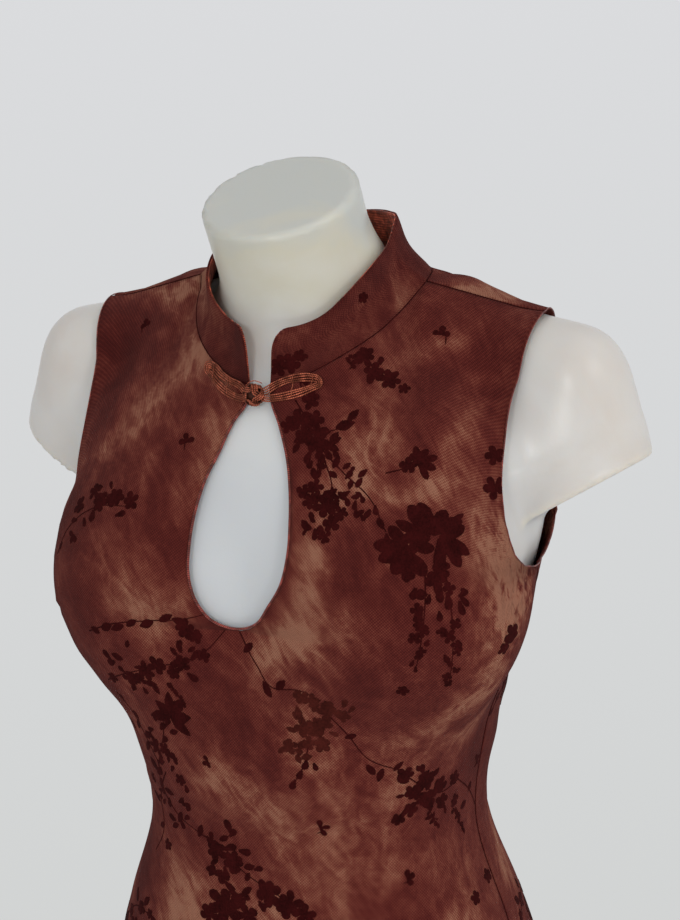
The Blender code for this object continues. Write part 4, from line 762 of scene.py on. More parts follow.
def half_panel(side, face):
    """Points of half a panel, from the hem to the neck and shoulder, on the cloth's outside."""
    columns = COLUMNS_TO_NECK + COLUMNS_TO_SHOULDER
    fractions = np.linspace(0, 1, columns + 1)
    coarse = np.linspace(HEM, FINE_FROM, round((FINE_FROM - HEM) / COARSE_ROW) + 1)
    fine = np.linspace(FINE_FROM, KEYHOLE_CUT, round((KEYHOLE_CUT - FINE_FROM) / FINE_ROW) + 1)
    lower = rings(np.concatenate([coarse[:-1], fine]), side, face, fractions)

    rows = ROWS_TO_UNDERARM + ROWS_TO_SHOULDER
    armhole_table = ARMHOLE_FRONT if face < 0 else ARMHOLE_BACK
    neckline_table = NECKLINE_FRONT if face < 0 else NECKLINE_BACK[::-1]
    neckline = settle(on_side(smooth_line(neckline_table), side))
    shoulder = shoulder_seam(side, face)
    neckline[-1] = shoulder[0]
    side_heights = np.linspace(KEYHOLE_CUT, UNDERARM, ROWS_TO_UNDERARM + 1)
    side_seam = rings(side_heights, side, face, (1.0,))[:, 0]
    armhole = settle(on_side(smooth_line(armhole_table), side), ARMHOLE_SPARE)
    armhole[0] = side_seam[-1]
    armhole[-1] = shoulder[-1]
    outer = np.vstack([
        side_seam[:-1],
        at_fractions(armhole, np.linspace(0, 1, ROWS_TO_SHOULDER + 1)),
    ])
    top = np.vstack([
        at_fractions(neckline, np.linspace(0, 1, COLUMNS_TO_NECK + 1))[:-1],
        at_fractions(shoulder, np.linspace(0, 1, COLUMNS_TO_SHOULDER + 1)),
    ])
    if face < 0:
        centre_line = keyhole_edge(side, PANEL_BESIDE_KEYHOLE)
        centre_line[0] = lower[-1, 0]
        reach = np.linspace(0, 1, len(centre_line)) ** THROAT_PULL
        centre_line += reach[:, None] * (top[0] - centre_line[-1])
    else:
        heights = np.linspace(KEYHOLE_CUT, top[0, 2], DENSE_SAMPLES)
        start = np.stack([0 * heights, 0 * heights + START_RADIUS, heights], axis=1)
        centre_line = slide(start, np.tile((0.0, 1.0, 0.0), (DENSE_SAMPLES, 1)))
        centre_line[0] = lower[-1, 0]
        centre_line[-1] = top[0]
    centre = at_fractions(centre_line, np.linspace(0, 1, rows + 1))
    upper = upper_patch(lower[-1], centre, outer, top)
    return np.concatenate([lower, upper[1:]])


def run_along(grid, axis, start=0.0):
    """How far each point of a grid is from its first row (axis 0) or column (axis 1)."""
    steps = np.linalg.norm(np.diff(grid, axis=axis), axis=2)
    first = np.zeros_like(np.take(steps, [0], axis=axis)) + start
    return np.concatenate([first, steps], axis=axis).cumsum(axis=axis)


def cloth_measures(grid):
    """How far each point of a grid is from the middle and from the hem, along the cloth."""
    across = run_along(grid, 1, np.abs(grid[:, :1, 0]))
    return np.stack([across * np.sign(grid[-1, -1, 0]), run_along(grid, 0)], axis=2)


# --- Creases and dye ----------------------------------------------------------------------

def find_place(tree, turn, height):
    """The cloth's outside at a turn and height: its place, the way off it, level and up."""
    way = Vector((math.sin(math.radians(turn)), -math.cos(math.radians(turn)), 0.0))
    hit, normal, _, _ = tree.ray_cast(way * OUTSIDE + Vector((0, 0, height)), -way)
    if hit is None:
        return None
    if normal.dot(way) < 0:
        normal = -normal
    level = Vector((0, 0, 1)).cross(normal).normalized()
    return hit, normal, level, normal.cross(level)


def noise_at(points, scale, shift=0.0):
    """A noise between -1 and 1 at each point."""
    return np.array([noise.noise(place) for place in (points * scale + shift).tolist()])


def along_and_across(points, place, heading):
    """Each point's measures along and across a heading at a place, and its distance off it."""
    middle, normal, level, up = (np.array(part) for part in place)
    angle = math.radians(heading)
    along = level * math.cos(angle) + up * math.sin(angle)
    offset = points - middle
    return offset @ along, offset @ np.cross(normal, along), offset @ normal


def crease_relief(points, tree):
    """How far the creases lift each point off the cloth."""
    relief = np.zeros(len(points))
    for turn, height, heading, length, width, depth in CREASES:
        place = find_place(tree, turn, height)
        if place is None:
            continue
        along, across, off = along_and_across(points, place, heading)
        along = along / (length * MM / 2)
        across = across + CREASE_WANDER * np.sin(along * CREASE_WAVES + turn)
        shape = np.exp(-(across / (width * MM)) ** 2) * np.clip(1 - along ** 2, 0, 1) ** 1.5
        relief += depth * MM * shape * (np.abs(off) < CREASE_DEEP)
    for turn, height, reach_across, reach_up, lift in SWELLS:
        up, across, _ = along_and_across(points, find_place(tree, turn, height), 90)
        relief += lift * MM * np.exp(-(up / (reach_up * MM)) ** 2 - (across / (reach_across * MM)) ** 2)
    wander = noise_at(points, PUCKER_NOISE)
    folded = 0.5 - np.abs(wander) * 2
    puckers = wander * PUCKER_WAVES + folded * PUCKER_FOLDS
    return relief + pucker_share(points, tree) * puckers * MM


def pucker_share(points, tree):
    """How strongly each point is crumpled, nearest the underarms."""
    share = np.zeros(len(points))
    for turn, height, reach_across, reach_up, depth in PUCKERS:
        up, across, off = along_and_across(points, find_place(tree, turn, height), 90)
        near = np.exp(-(up / (reach_up * MM)) ** 2 - (across / (reach_across * MM)) ** 2)
        share = np.maximum(share, depth * near * (np.abs(off) < PATCH_DEEP))
    return share


def dye_strength(points, tree):
    """The light dye on each point: soft patches over a slow mottling."""
    dye = DYE_LEVEL
    for share, scale, shift in DYE_MOTTLES:
        dye = dye + share * noise_at(points, scale, shift)
    wander, sway = (noise_at(points, *row[1:]) * row[0] for row in (DYE_WANDER, DYE_SWAY))
    for turn, height, heading, half_length, half_width, strength in DYE_PATCHES:
        place = find_place(tree, turn, height)
        if place is None:
            continue
        along, across, off = along_and_across(points, place, heading)
        reach = ((along + sway) / half_length / MM) ** 2
        reach += ((across + wander) / half_width / MM) ** 2
        dye += DYE_SHARE * strength * np.exp(-reach) * (np.abs(off) < PATCH_DEEP)
    return np.clip(dye, 0, DYE_MOST)


# --- Building pieces ----------------------------------------------------------------------

def new_piece(name, points, faces, made_material, measures=None, values=None):
    """A smooth mesh object, with the cloth's measures as its UV map and values of its points."""
    mesh = bpy.data.meshes.new(name)
    mesh.from_pydata(np.asarray(points).tolist(), [], [tuple(face) for face in faces])
    if measures is not None:
        layer = mesh.uv_layers.new(name="cloth")
        corners = np.empty(len(mesh.loops), dtype=np.int32)
        mesh.loops.foreach_get("vertex_index", corners)
        layer.data.foreach_set("uv", np.asarray(measures, dtype=np.float32)[corners].ravel())
    for value_name, numbers in (values or {}).items():
        attribute = mesh.attributes.new(value_name, "FLOAT", "POINT")
        attribute.data.foreach_set("value", np.asarray(numbers, dtype=np.float32))
    work = bmesh.new()
    work.from_mesh(mesh)
    bmesh.ops.recalc_face_normals(work, faces=work.faces)
    work.to_mesh(mesh)
    work.free()
    mesh.materials.append(made_material)
    mesh.shade_smooth()
    thing = bpy.data.objects.new(name, mesh)
    bpy.context.scene.collection.objects.link(thing)
    return thing


def welded(grids):
    """Joins grids of rows (x, y, z, ...) that share an edge into one list of rows and faces."""
    rows_found = []
    faces = []
    index_of = {}
    for grid in grids:
        height, width = grid.shape[:2]
        numbers = []
        for row in grid.reshape(-1, grid.shape[2]):
            key = tuple(np.round(row[:3], 6))
            if key not in index_of:
                index_of[key] = len(rows_found)
                rows_found.append(row)
            numbers.append(index_of[key])
        faces += [tuple(numbers[i] for i in face) for face in grid_faces(height, width)]
    return np.array(rows_found), faces


def grid_faces(rows, columns, start=0):
    return [
        (
            start + row * columns + column,
            start + row * columns + column + 1,
            start + (row + 1) * columns + column + 1,
            start + (row + 1) * columns + column,
        )
        for row in range(rows - 1)
        for column in range(columns - 1)
    ]


def shell_faces(count, faces):
    """Faces of a closed shell: the outside, its copy inside, and the rims between them."""
    rims = {}
    for face in faces:
        for first, second in zip(face, face[1:] + face[:1]):
            shared = [edge for edge in ((second, first), (first, second)) if edge in rims]
            if shared:
                del rims[shared[0]]
            else:
                rims[(first, second)] = True
    inside = [tuple(index + count for index in reversed(face)) for face in faces]
    edges = [(second, first, first + count, second + count) for first, second in rims]
    return list(faces) + inside + edges


def panel(name, face, made_material):
    """A panel of the dress, and the tree of its outside."""
    grids = [half_panel(side, face) for side in (1, -1)]
    rows, faces = welded([np.concatenate([grid, cloth_measures(grid)], axis=2) for grid in grids])
    points, measures = rows[:, :3], rows[:, 3:]
    _, normal = distance_and_normal(points, CLOTH_BLENDS)
    tree = BVHTree.FromPolygons(points.tolist(), faces)
    points = points + normal * crease_relief(points, tree)[:, None]
    dye = dye_strength(points, tree)
    crumple = pucker_share(points, tree)
    tree = BVHTree.FromPolygons(points.tolist(), faces)
    thing = new_piece(
        name, np.vstack([points, points - normal * SHELL]), shell_faces(len(points), faces),
        made_material, np.vstack([measures, measures]),
        {"dye": np.tile(dye, 2), "crumple": np.tile(crumple, 2)},
    )
    return thing, tree


def collar_skin():
    """Half the stand collar's outer skin, front edge to middle of the back, and its normals."""
    steps = np.linspace(0, 1, COLUMNS_TO_NECK + 1)
    base = np.vstack([
        at_fractions(settle(smooth_line(table)), steps)[:count]
        for table, count in ((NECKLINE_FRONT, -1), (NECKLINE_BACK, None))
    ])
    _, panel_normal = distance_and_normal(base, CLOTH_BLENDS)
    towards_neck = unit(np.cross(panel_normal, np.gradient(base, axis=0)))
    base = base + towards_neck * COLLAR_GAP
    base[-1, 0] = 0.0
    lengths = arc_lengths(base)
    from_front = np.sort(np.concatenate([lengths, np.array(CORNER_STEPS) * lengths[1]]))
    base = at_fractions(base, from_front / lengths[-1])
    top = at_fractions(smooth_line(COLLAR_TOP), from_front / lengths[-1])

    short_of_corner = np.clip(1 - from_front / COLLAR_CORNER, 0, 1)
    height = 1 - COLLAR_CORNER_DROP * (1 - np.sqrt(1 - short_of_corner ** 2))
    up = np.linspace(0, 1, COLLAR_ROWS)[:, None] * height[None, :]
    grid = base[None] + (top - base)[None] * up[..., None]
    dip = COLLAR_DIP * (4 * up * (1 - up)) ** 2 * np.clip(from_front / COLLAR_DIP_START, 0, 1)
    grid -= grid_normals(grid) * dip[..., None]
    away, form_normal = distance_and_normal(grid.reshape(-1, 3), FORM_BLENDS)
    push = form_normal * np.maximum(OUTER + COLLAR_SPARE - away, 0)[:, None]
    grid += push.reshape(grid.shape)
    grid[:, -1, 0] = 0.0
    normal = grid_normals(grid)
    _, normal[0] = distance_and_normal(base, CLOTH_BLENDS)
    return grid, normal


def grid_normals(grid):
    """Normals of a grid whose last column lies on the middle plane."""
    normal = np.cross(np.gradient(grid, axis=1), np.gradient(grid, axis=0))
    normal[:, -1, 0] = 0.0
    return unit(normal)


def whole_collar(half):
    """Both halves of a collar grid, from the wearer's right front edge to the left."""
    return np.concatenate([half * (-1.0, 1.0, 1.0), half[:, -2::-1]], axis=1)


def collar_layer(name, depth, thickness, made_material):
    """One layer of the collar that starts at a depth inside its outer skin, and its tree."""
    skin, normal = collar_skin()
    outside = whole_collar(skin - normal * depth)
    inside = whole_collar(skin - normal * (depth + thickness))
    faces = grid_faces(*outside.shape[:2])
    measures = np.stack([run_along(outside, 1), run_along(outside, 0)], axis=2).reshape(-1, 2)
    outside, inside = outside.reshape(-1, 3), inside.reshape(-1, 3)
    tree = BVHTree.FromPolygons(outside.tolist(), faces)
    dye = dye_strength(outside, tree)
    thing = new_piece(
        name, np.vstack([outside, inside]), shell_faces(len(outside), faces),
        made_material, np.vstack([measures, measures]), {"dye": np.tile(dye, 2)},
    )
    return thing, tree


def tubes(name, paths, radii, made_material, sides, outwards=None):
    """Round closed cords along paths, with their length as the UV map's second measure.

    With outwards, the way out of the bundle at each path point, painted shade darkens the cords away from
    it.
    """
    points, faces, measures, shades = [], [], [], []
    turns = np.linspace(0, 2 * math.pi, sides, endpoint=False)
    for path, radius, outward in zip(paths, radii, outwards or [None] * len(paths)):
        sizes = np.broadcast_to(radius, len(path))
        outward = np.zeros((len(path), 3)) if outward is None else outward
        run = unit(np.gradient(path, axis=0))
        across = np.cross(run[0], (0.0, -1.0, 0.1))
        start = len(points)
        for place, way, length, size, out in zip(path, run, arc_lengths(path), sizes, outward):
            across = unit(across - way * (across @ way))
            up = np.cross(way, across)
            for turn in turns:
                offset = across * math.cos(turn) + up * math.sin(turn)
                points.append(place + size * offset)
                measures.append((turn / (2 * math.pi), length))
                # painted shade: darker where the cord's surface turns away from the way out
                shades.append(np.clip(1 - SHADE_FALL * (offset @ out), 0, 1) if out.any() else 0.0)
        for i in range(len(path) - 1):
            for j in range(sides):
                a, b = start + i * sides + j, start + i * sides + (j + 1) % sides
                faces.append((a, b, b + sides, a + sides))
        faces.append(tuple(range(start, start + sides)))
        faces.append(tuple(range(len(points) - sides, len(points))))
    return new_piece(name, points, faces, made_material, measures, {"shade": shades})


def sewn_tubes(name, lines, made_material):
    """Thin cords along lines on the cloth: each is a path, a radius and the tree of its panel."""
    paths, radii = [], []
    for path, radius, tree in lines:
        steps = round(arc_lengths(path)[-1] / SEAM_STEP)
        path = at_fractions(path, np.linspace(0, 1, steps))
        _, normal = distance_and_normal(path, CLOTH_BLENDS)
        paths.append(path + normal * crease_relief(path, tree)[:, None])
        radii.append(radius)
    return tubes(name, paths, radii, made_material, 6)


def seam_lines(trees, made_material):
    """Dark cords along the neckline, the shoulders, the sides and the hem: the stitching, and a painted
    shadow in the seams' grooves.
    """
    lines = []
    fractions = np.linspace(0, 1, HEM_SAMPLES)
    for side in (-1, 1):
        neck = np.vstack([settle(smooth_line(table)) for table in (NECKLINE_FRONT, NECKLINE_BACK)])
        neck = neck[np.append(True, np.diff(arc_lengths(neck)) > 1e-6)] * (side, 1, 1)
        heights = np.linspace(SLIT_TOP, UNDERARM - SIDE_SEAM_SHORT, SIDE_SAMPLES)
        side_seam = rings(heights, side, -1, (1.0,))[:, 0]
        for path in (neck, shoulder_seam(side, -1), side_seam):
            lines.append((path, SEAM_RADIUS, trees[-1]))
        for face in (-1, 1):
            hem = rings((HEM + HEM_DEPTH,), side, face, fractions)[0]
            lines.append((hem, STITCH_RADIUS, trees[face]))
    return sewn_tubes("dress_seams", lines, made_material)


def armhole_rolls(trees, made_material):
    """The narrow rolled edges of both armholes."""
    lines = [
        (settle(on_side(smooth_line(table), side), ARMHOLE_SPARE), ROLL_RADIUS, trees[face])
        for side in (-1, 1) for face, table in ((-1, ARMHOLE_FRONT), (1, ARMHOLE_BACK))
    ]
    return sewn_tubes("armhole_rolls", lines, made_material)


def keyhole_binding(made_material):
    """The rolled edge round the keyhole, open at the throat."""
    fractions = np.linspace(0, 1, BINDING_SAMPLES)
    right, left = (at_fractions(keyhole_edge(side, BINDING_RADIUS), fractions) for side in (-1, 1))
    path = np.vstack([right[:0:-1], left])
    _, normal = distance_and_normal(path, CLOTH_BLENDS)
    path = path - normal * (SHELL / 2)
    return tubes("dress_binding", [path], [BINDING_RADIUS], made_material, 12)


# --- The frog -----------------------------------------------------------------------------

def front_of(trees, x, z):
    """The foremost cloth beside a place, seen from the front."""
    found = []
    for step_x, step_z in ((0, 0), (BESIDE, 0), (-BESIDE, 0), (0, BESIDE), (0, -BESIDE)):
        for tree in trees:
            hit = tree.ray_cast(Vector((x + step_x, -IN_FRONT, z + step_z)), Vector((0, 1, 0)))
            if hit[0] is not None:
                found.append(hit[0].y)
    return min(found, default=NECKLINE_FRONT[0][1])


def draw_taut(path, passes):
    """Lets a cord bridge the hollows that lie behind it."""
    for _ in range(passes):
        path[1:-1, 1] = np.minimum(path[1:-1, 1], (path[:-2, 1] + path[2:, 1]) / 2)


def loop_path(table, trees, spacing):
    """One cord of a loop, moved sideways by spacing."""
    flat = smooth_line([(x, 0.0, z) for x, z in table])
    path = at_fractions(flat, np.linspace(0, 1, LOOP_SAMPLES))
    path[:, 1] = [front_of(trees, x, z) for x, _, z in path]
    draw_taut(path, LOOP_PASSES)
    from_knot = np.hypot(path[:, 0] - KNOT_PLACE[0], path[:, 2] - KNOT_PLACE[1])
    lift = LOOP_LIFT * np.clip(1 - (from_knot - KNOT_RADIUS) / LOOP_LIFT_LENGTH, 0, 1) ** 2
    path[:, 1] -= SEAM_GAP + CORD_RADIUS + lift
    across = unit(np.cross(unit(np.gradient(path, axis=0)), (0.0, -1.0, 0.0)))
    along = np.linspace(0, 1, len(path))
    waves = np.sin(along * WOBBLE_WAVES + spacing * WOBBLE_SHIFT)
    sway = CORD_WOBBLE * waves * np.sin(along * math.pi)
    path = path + across * (spacing + sway)[:, None]
    path[:, 1] -= np.abs(sway) * WOBBLE_SINK
    return path


def frog_side(name, table, trees, wraps, made_material):
    """A loop of four cords and the threads that hold its arms together."""
    paths = [loop_path(table, trees, (i - 1.5) * CORD_RADIUS * CORD_SPACING) for i in range(4)]
    radii = [CORD_RADIUS] * len(paths)
    for (x0, z0), (x1, z1) in wraps:
        along = np.linspace(0, 1, WRAP_SAMPLES)
        wrap = np.stack([x0 + (x1 - x0) * along, 0 * along, z0 + (z1 - z0) * along], axis=1)
        cords = np.vstack(paths)
        for point in wrap:
            near = np.hypot(cords[:, 0] - point[0], cords[:, 2] - point[2]) < WRAP_REACH
            floor = front_of(trees, point[0], point[2]) - SEAM_GAP
            point[1] = min(floor, (cords[near, 1].min() - CORD_RADIUS) if near.any() else floor)
        draw_taut(wrap, WRAP_PASSES)
        paths.append(wrap)
        radii.append(WRAP_RADIUS)
    # painted shade darkens each cord towards its sides, away from the front
    outwards = [np.tile((0.0, -1.0, 0.0), (len(path), 1)) for path in paths]
    return tubes(name, paths, radii, made_material, 8, outwards)


def frog_ball(made_material):
    """The woven ball: three strands of one cord that crosses over and under itself, painted darker where it
    dips, round a core painted dark for the shade inside.
    """
    x, z = KNOT_PLACE
    centre = np.array((x, NECKLINE_FRONT[0][1] - SEAM_GAP - KNOT_DEPTH - KNOT_LIFT, z))
    turns = np.linspace(0, 2 * math.pi * BALL_LEADS, 340)
    phase = turns * BALL_BIGHTS / BALL_LEADS
    tilt = BALL_TILT * np.cos(phase)
    over = 1 + BALL_RISE * np.sin(phase * 2 + 0.6)
    ball = np.stack([
        np.cos(tilt) * np.cos(turns) * BALL_RADIUS * over,
        -np.sin(tilt) * BALL_DEPTH * over,
        np.cos(tilt) * np.sin(turns) * BALL_RADIUS * over,
    ], axis=1)
    c, s = math.cos(BALL_LEAD), math.sin(BALL_LEAD)
    ball = ball @ np.array(((c, 0, s), (0, 1, 0), (-s, 0, c))).T
    outward = unit(ball)
    beside = unit(np.cross(np.gradient(ball, axis=0), outward))
    paths = [
        centre + ball + beside * BALL_CORD_RADIUS * aside for aside in (-BALL_SPREAD, 0.0, BALL_SPREAD)
    ]
    # painted shade: the cord darkens where it dips under its other turns
    deeper = np.clip((BALL_LOW - over) / BALL_LOW_RUN, 0, 1)[:, None]
    outwards = [outward * (1 - BALL_LOW_SHADE * deeper)] * len(paths)
    # a core painted dark for the shade that shows between the strands
    along = np.linspace(-BALL_AXIS, BALL_AXIS, 24)
    core = KNOT_RADIUS * BALL_CORE * np.sqrt(1 - along ** 2)
    paths.append(centre + along[:, None] * np.array((0.0, KNOT_DEPTH * BALL_CORE, 0.0)))
    outwards.append(np.tile((0.0, 1e-3, 0.0), (len(along), 1)))
    along = np.linspace(0, 1, 30)
    forwards, up = (bow * np.sin(along * waves) for bow, waves in STRAY_BOWS)
    stray_x, stray_y, stray_z = STRAY_START
    paths.append(np.stack([
        x + stray_x + STRAY_RUN * along, centre[1] + stray_y + forwards, z + stray_z + up
    ], axis=1))
    outwards.append(None)
    radii = [BALL_CORD_RADIUS] * 3 + [core, STRAY_RADIUS]
    return tubes("frog_ball", paths, radii, made_material, 8, outwards)


# --- Flock --------------------------------------------------------------------------------

class Flock:
    """Raised motifs that lie on the cloth's outside."""

    def __init__(self, tree):
        self.tree = tree
        self.points = []
        self.faces = []

    def put(self, place, x, y, lift):
        middle, normal, level, up = place
        near, way, _, _ = self.tree.find_nearest(middle + level * x + up * y)
        if way.dot(normal) < 0:
            way = -way
        self.points.append(near + way * lift)
        return len(self.points) - 1

    def strip(self, rows, rim, middle):
        """A closed domed strip; each row is a place and its left edge, middle and right edge."""
        lines = []
        for place, left_spot, middle_spot, right_spot in rows:
            lines.append((
                self.put(place, *left_spot, rim),
                self.put(place, *middle_spot, middle),
                self.put(place, *right_spot, rim),
                self.put(place, *middle_spot, FLOCK_UNDERSIDE),
            ))
        for line, ahead in zip(lines, lines[1:]):
            for i in range(4):
                j = (i + 1) % 4
                self.faces.append((line[i], line[j], ahead[j], ahead[i]))
        self.faces += [lines[0], lines[-1]]

    def petal(self, place, x, y, heading, length, width, outline=ROUND_PETAL):
        angle = math.radians(heading + random.uniform(-PETAL_TURN, PETAL_TURN))
        length *= random.uniform(*PETAL_LENGTHS)
        width *= random.uniform(*PETAL_WIDTHS)
        bend = random.uniform(-PETAL_BEND, PETAL_BEND)
        c, s = math.cos(angle), math.sin(angle)
        rows = []
        for along, half in outline:
            px = along * length
            py = bend * length * along * along
            half = half * width * random.uniform(*PETAL_EDGES)
            rows.append([place] + [
                (x + c * px - s * (py + side), y + s * px + c * (py + side))
                for side in (half, 0.0, -half)
            ])
        lift = random.uniform(0, PETAL_LIFT)
        self.strip(rows, FLOCK_RIM + lift, FLOCK_MIDDLE + lift)

    def blossom(self, turn, height, size, petals):
        place = find_place(self.tree, turn, height)
        if place is None:
            return
        turned = random.uniform(0, 360)
        length = size * MM / 2
        width = 2 * length * math.sin(math.pi / petals) * PETAL_FILL
        for i in range(petals):
            self.petal(place, 0, 0, turned + 360 * i / petals, length, width)

    def fan(self, turn, height, size, petals, heading, arc, outline=POINTED_PETAL, plump=0.28):
        place = find_place(self.tree, turn, height)
        if place is None:
            return
        size = size * MM
        width = size * PETAL_FILL * math.radians(arc) / petals * FAN_OVERLAP
        width = min(width, size * plump)
        for i in range(petals):
            lean = arc * (i / max(petals - 1, 1) - 0.5)
            self.petal(place, 0, 0, heading + lean, size * FAN_LENGTH, width, outline)

    def leaf(self, turn, height, length, heading, plump=LEAF_PLUMP, outline=POINTED_PETAL):
        place = find_place(self.tree, turn, height)
        if place is None:
            return
        length = length * MM
        angle = math.radians(heading)
        x, y = -math.cos(angle) * length / 2, -math.sin(angle) * length / 2
        self.petal(place, x, y, heading, length, length * plump, outline)

    def sprig(self, turn, height, size, heading):
        petals = (SPRIG_PETALS, heading, SPRIG_ARC, ROUND_PETAL, SPRIG_PLUMP)
        self.fan(turn, height, size * SPRIG_SIZE, *petals)
        low = height - SPRIG_DROP * size / 2
        self.leaf(turn, low, size * SPRIG_STEM, heading + 180, SPRIG_STEM_PLUMP)

    def stem(self, waypoints, width=STEM_WIDTH):
        line = smooth_line([(turn, height * 1000, 0.0) for turn, height in waypoints], STEM_SAMPLES)
        found = [find_place(self.tree, turn, height / 1000) for turn, height, _ in line]
        found = [place for place in found if place is not None]
        if len(found) < 2:
            return
        length = arc_lengths(np.array([place[0] for place in found]))
        steps = max(2, int(length[-1] / STEM_STEP))
        wanted = [length[-1] * i / steps for i in range(steps + 1)]
        places = [found[i] for i in sorted({int(np.argmin(abs(length - far))) for far in wanted})]
        rows = []
        for i, place in enumerate(places):
            run = places[min(i + 1, len(places) - 1)][0] - places[max(i - 1, 0)][0]
            rx, ry = run.dot(place[2]), run.dot(place[3])
            size = max(math.hypot(rx, ry), 1e-9)
            thin = width / 2 * (1 - STEM_TAPER * i / len(places)) * random.uniform(*STEM_WIDTHS)
            nx, ny = -ry / size * thin, rx / size * thin
            rows.append((place, (nx, ny), (0, 0), (-nx, -ny)))
        self.strip(rows, FLOCK_RIM, FLOCK_MIDDLE * STEM_CROWN)

    def tail(self, turn0, height0, turn1, height1, size):
        """A hanging row of blossoms that ends in buds."""
        span = math.hypot(height1 - height0, math.radians(turn1 - turn0) * GIRTH_RADIUS)
        count = max(5, round(span / (size * TAIL_STEP)))
        for i in range(count):
            share = i / (count - 1)
            aside = random.uniform(-1, 1) * (TAIL_ASIDE - TAIL_NARROWING * share) * size / TAIL_SIZE
            turn = turn0 + (turn1 - turn0) * share + aside
            height = height0 + (height1 - height0) * share
            height += random.uniform(-TAIL_JITTER, TAIL_JITTER)
            now = size * (1 - TAIL_SHRINK * share) * random.uniform(*TAIL_SIZES)
            if random.random() < TAIL_BLOSSOMS:
                self.blossom(turn, height, now, 4)
            else:
                heading = random.uniform(*TAIL_BUD_HEADINGS)
                self.leaf(turn, height, now * TAIL_BUD, heading, TAIL_BUD_PLUMP, ROUND_PETAL)
        between = ((turn0 + turn1) / 2, (height0 + height1) / 2)
        self.stem(((turn0, height0), between, (turn1, height1)))

    def cluster(self, turn, height, reach, count, size):
        """Small leaves and buds scattered round a place."""
        for _ in range(count):
            way, far = random.uniform(0, 2 * math.pi), reach * MM * math.sqrt(random.random())
            there = turn + math.degrees(far * math.cos(way) / GIRTH_RADIUS)
            heading = math.degrees(way) + random.uniform(-CLUSTER_LEAN, CLUSTER_LEAN)
            outline = POINTED_PETAL if random.random() < 0.5 else ROUND_PETAL
            length = size * random.uniform(*CLUSTER_SIZES)
            self.leaf(there, height + far * math.sin(way), length, heading, CLUSTER_PLUMP, outline)


def spray(flock, turn0, height0, heading, scale, side):
    """One spray of blossoms, leaves and hanging tails round a place."""
    angle = math.radians(heading)
    c, s = math.cos(angle) * scale, math.sin(angle) * scale

    def spot(x, y):
        x = x * side
        right, up = x * c - y * s, x * s + y * c
        return turn0 + math.degrees(right * MM / GIRTH_RADIUS), height0 + up * MM

    for line in SPRAY_STEMS:
        flock.stem([spot(x, y) for x, y in line], STEM_WIDTH * 1.1)
    for x, y, size, petals in SPRAY_BLOSSOMS:
        flock.blossom(*spot(x, y), size * scale, petals)
    for x, y, length, lean in SPRAY_LEAVES:
        turned = heading + lean if side > 0 else heading + 180 - lean
        flock.leaf(*spot(x, y), length * scale, turned)
    for x0, y0, x1, y1, size in SPRAY_TAILS:
        start, end = spot(x0, y0), spot(x1, y1)
        flock.tail(*start, *end, size * scale)


def front_motifs(flock):
    """Every motif of the front, by the way it's drawn."""
    for draw, rows, more in (
        (flock.blossom, BLOSSOMS, ()),
        (flock.fan, LARGE_FLOWERS, (SOFT_PETAL, LARGE_PLUMP)),
        (flock.fan, POINTED_FLOWERS, ()),
        (flock.sprig, SPRIGS, ()),
        (flock.leaf, LEAVES, ()),
        (flock.leaf, BUDS, (BUD_PLUMP, ROUND_PETAL)),
        (flock.stem, [(line,) for line in STEMS], ()),
        (flock.tail, TAILS, ()),
        (flock.cluster, CLUSTERS, ()),
    ):
        for row in rows:
            draw(*row, *more)
    generic_motifs(flock, lambda turn: abs(turn) < 90)


def back_motifs(flock):
    generic_motifs(flock, lambda turn: abs(turn) > 90)


def generic_motifs(flock, shown):
    """The sprays and sprigs that the photograph doesn't show, at the turns asked for."""
    for turn, height, heading, scale, side in SPRAY_PLACES:
        if shown(turn):
            spray(flock, turn, height, heading, scale, side)
    for turn, height in SCATTERED_SPRIGS:
        if shown(turn):
            flock.sprig(turn, height, 9, random.uniform(0, 360))


def faded_motifs(flock):
    for row in FADED_BLOSSOMS:
        flock.blossom(*row)
    for row in FADED_CLUSTERS:
        flock.cluster(*row)


def collar_motifs(flock):
    for row in COLLAR_MARKS:
        flock.blossom(*row)


def flock_piece(name, tree, draw_motifs, made_material):
    flock = Flock(tree)
    draw_motifs(flock)
    made = new_piece(name, np.array(flock.points), flock.faces, made_material)
    made.data.set_sharp_from_angle(angle=math.radians(35))
    return made


# --- The form -----------------------------------------------------------------------------

def rounded_figure(points):
    """The form as seen, with rounded rims at the neck cap and the bottom."""
    skin = figure(points, FORM_BLENDS, ARM_RIM_ROUNDING)
    cap_normal = np.array((0.0, -math.sin(NECK_CAP_TILT), math.cos(NECK_CAP_TILT)))
    cap = (points - np.array(NECK_CAP)) @ cap_normal
    skin = -soft_union(-skin, -cap, RIM_ROUNDING)
    return -soft_union(-skin, points[:, 2] - FORM_BOTTOM, RIM_ROUNDING)


def rough_form():
    """A stepped skin round every small cube whose middle is inside the figure."""
    low, high = (np.array(corner) for corner in FORM_BOX)
    counts = np.ceil((high - low) / ROUGH_CUBE).astype(int)
    middles = np.stack(np.meshgrid(*[np.arange(n) for n in counts], indexing="ij"), axis=-1)
    middles = (middles.reshape(-1, 3) + 0.5) * ROUGH_CUBE + low
    filled = (rounded_figure(middles) < 0).reshape(counts)
    filled = np.pad(filled, 1)
    work = bmesh.new()
    corners = {}

    def corner(place):
        if place not in corners:
            corners[place] = work.verts.new(tuple(low + (np.array(place) - 1) * ROUGH_CUBE))
        return corners[place]

    for axis in range(3):
        others = [other for other in range(3) if other != axis]
        change = np.diff(filled.astype(int), axis=axis)
        for cell in np.argwhere(change != 0):
            base = cell.copy()
            base[axis] += 1
            square = []
            for u, v in ((0, 0), (1, 0), (1, 1), (0, 1)):
                place = base.copy()
                place[others[0]] += u
                place[others[1]] += v
                square.append(corner(tuple(int(p) for p in place)))
            work.faces.new(square)
    bmesh.ops.recalc_face_normals(work, faces=work.faces)
    mesh = bpy.data.meshes.new("rough_form")
    work.to_mesh(mesh)
    work.free()
    return mesh


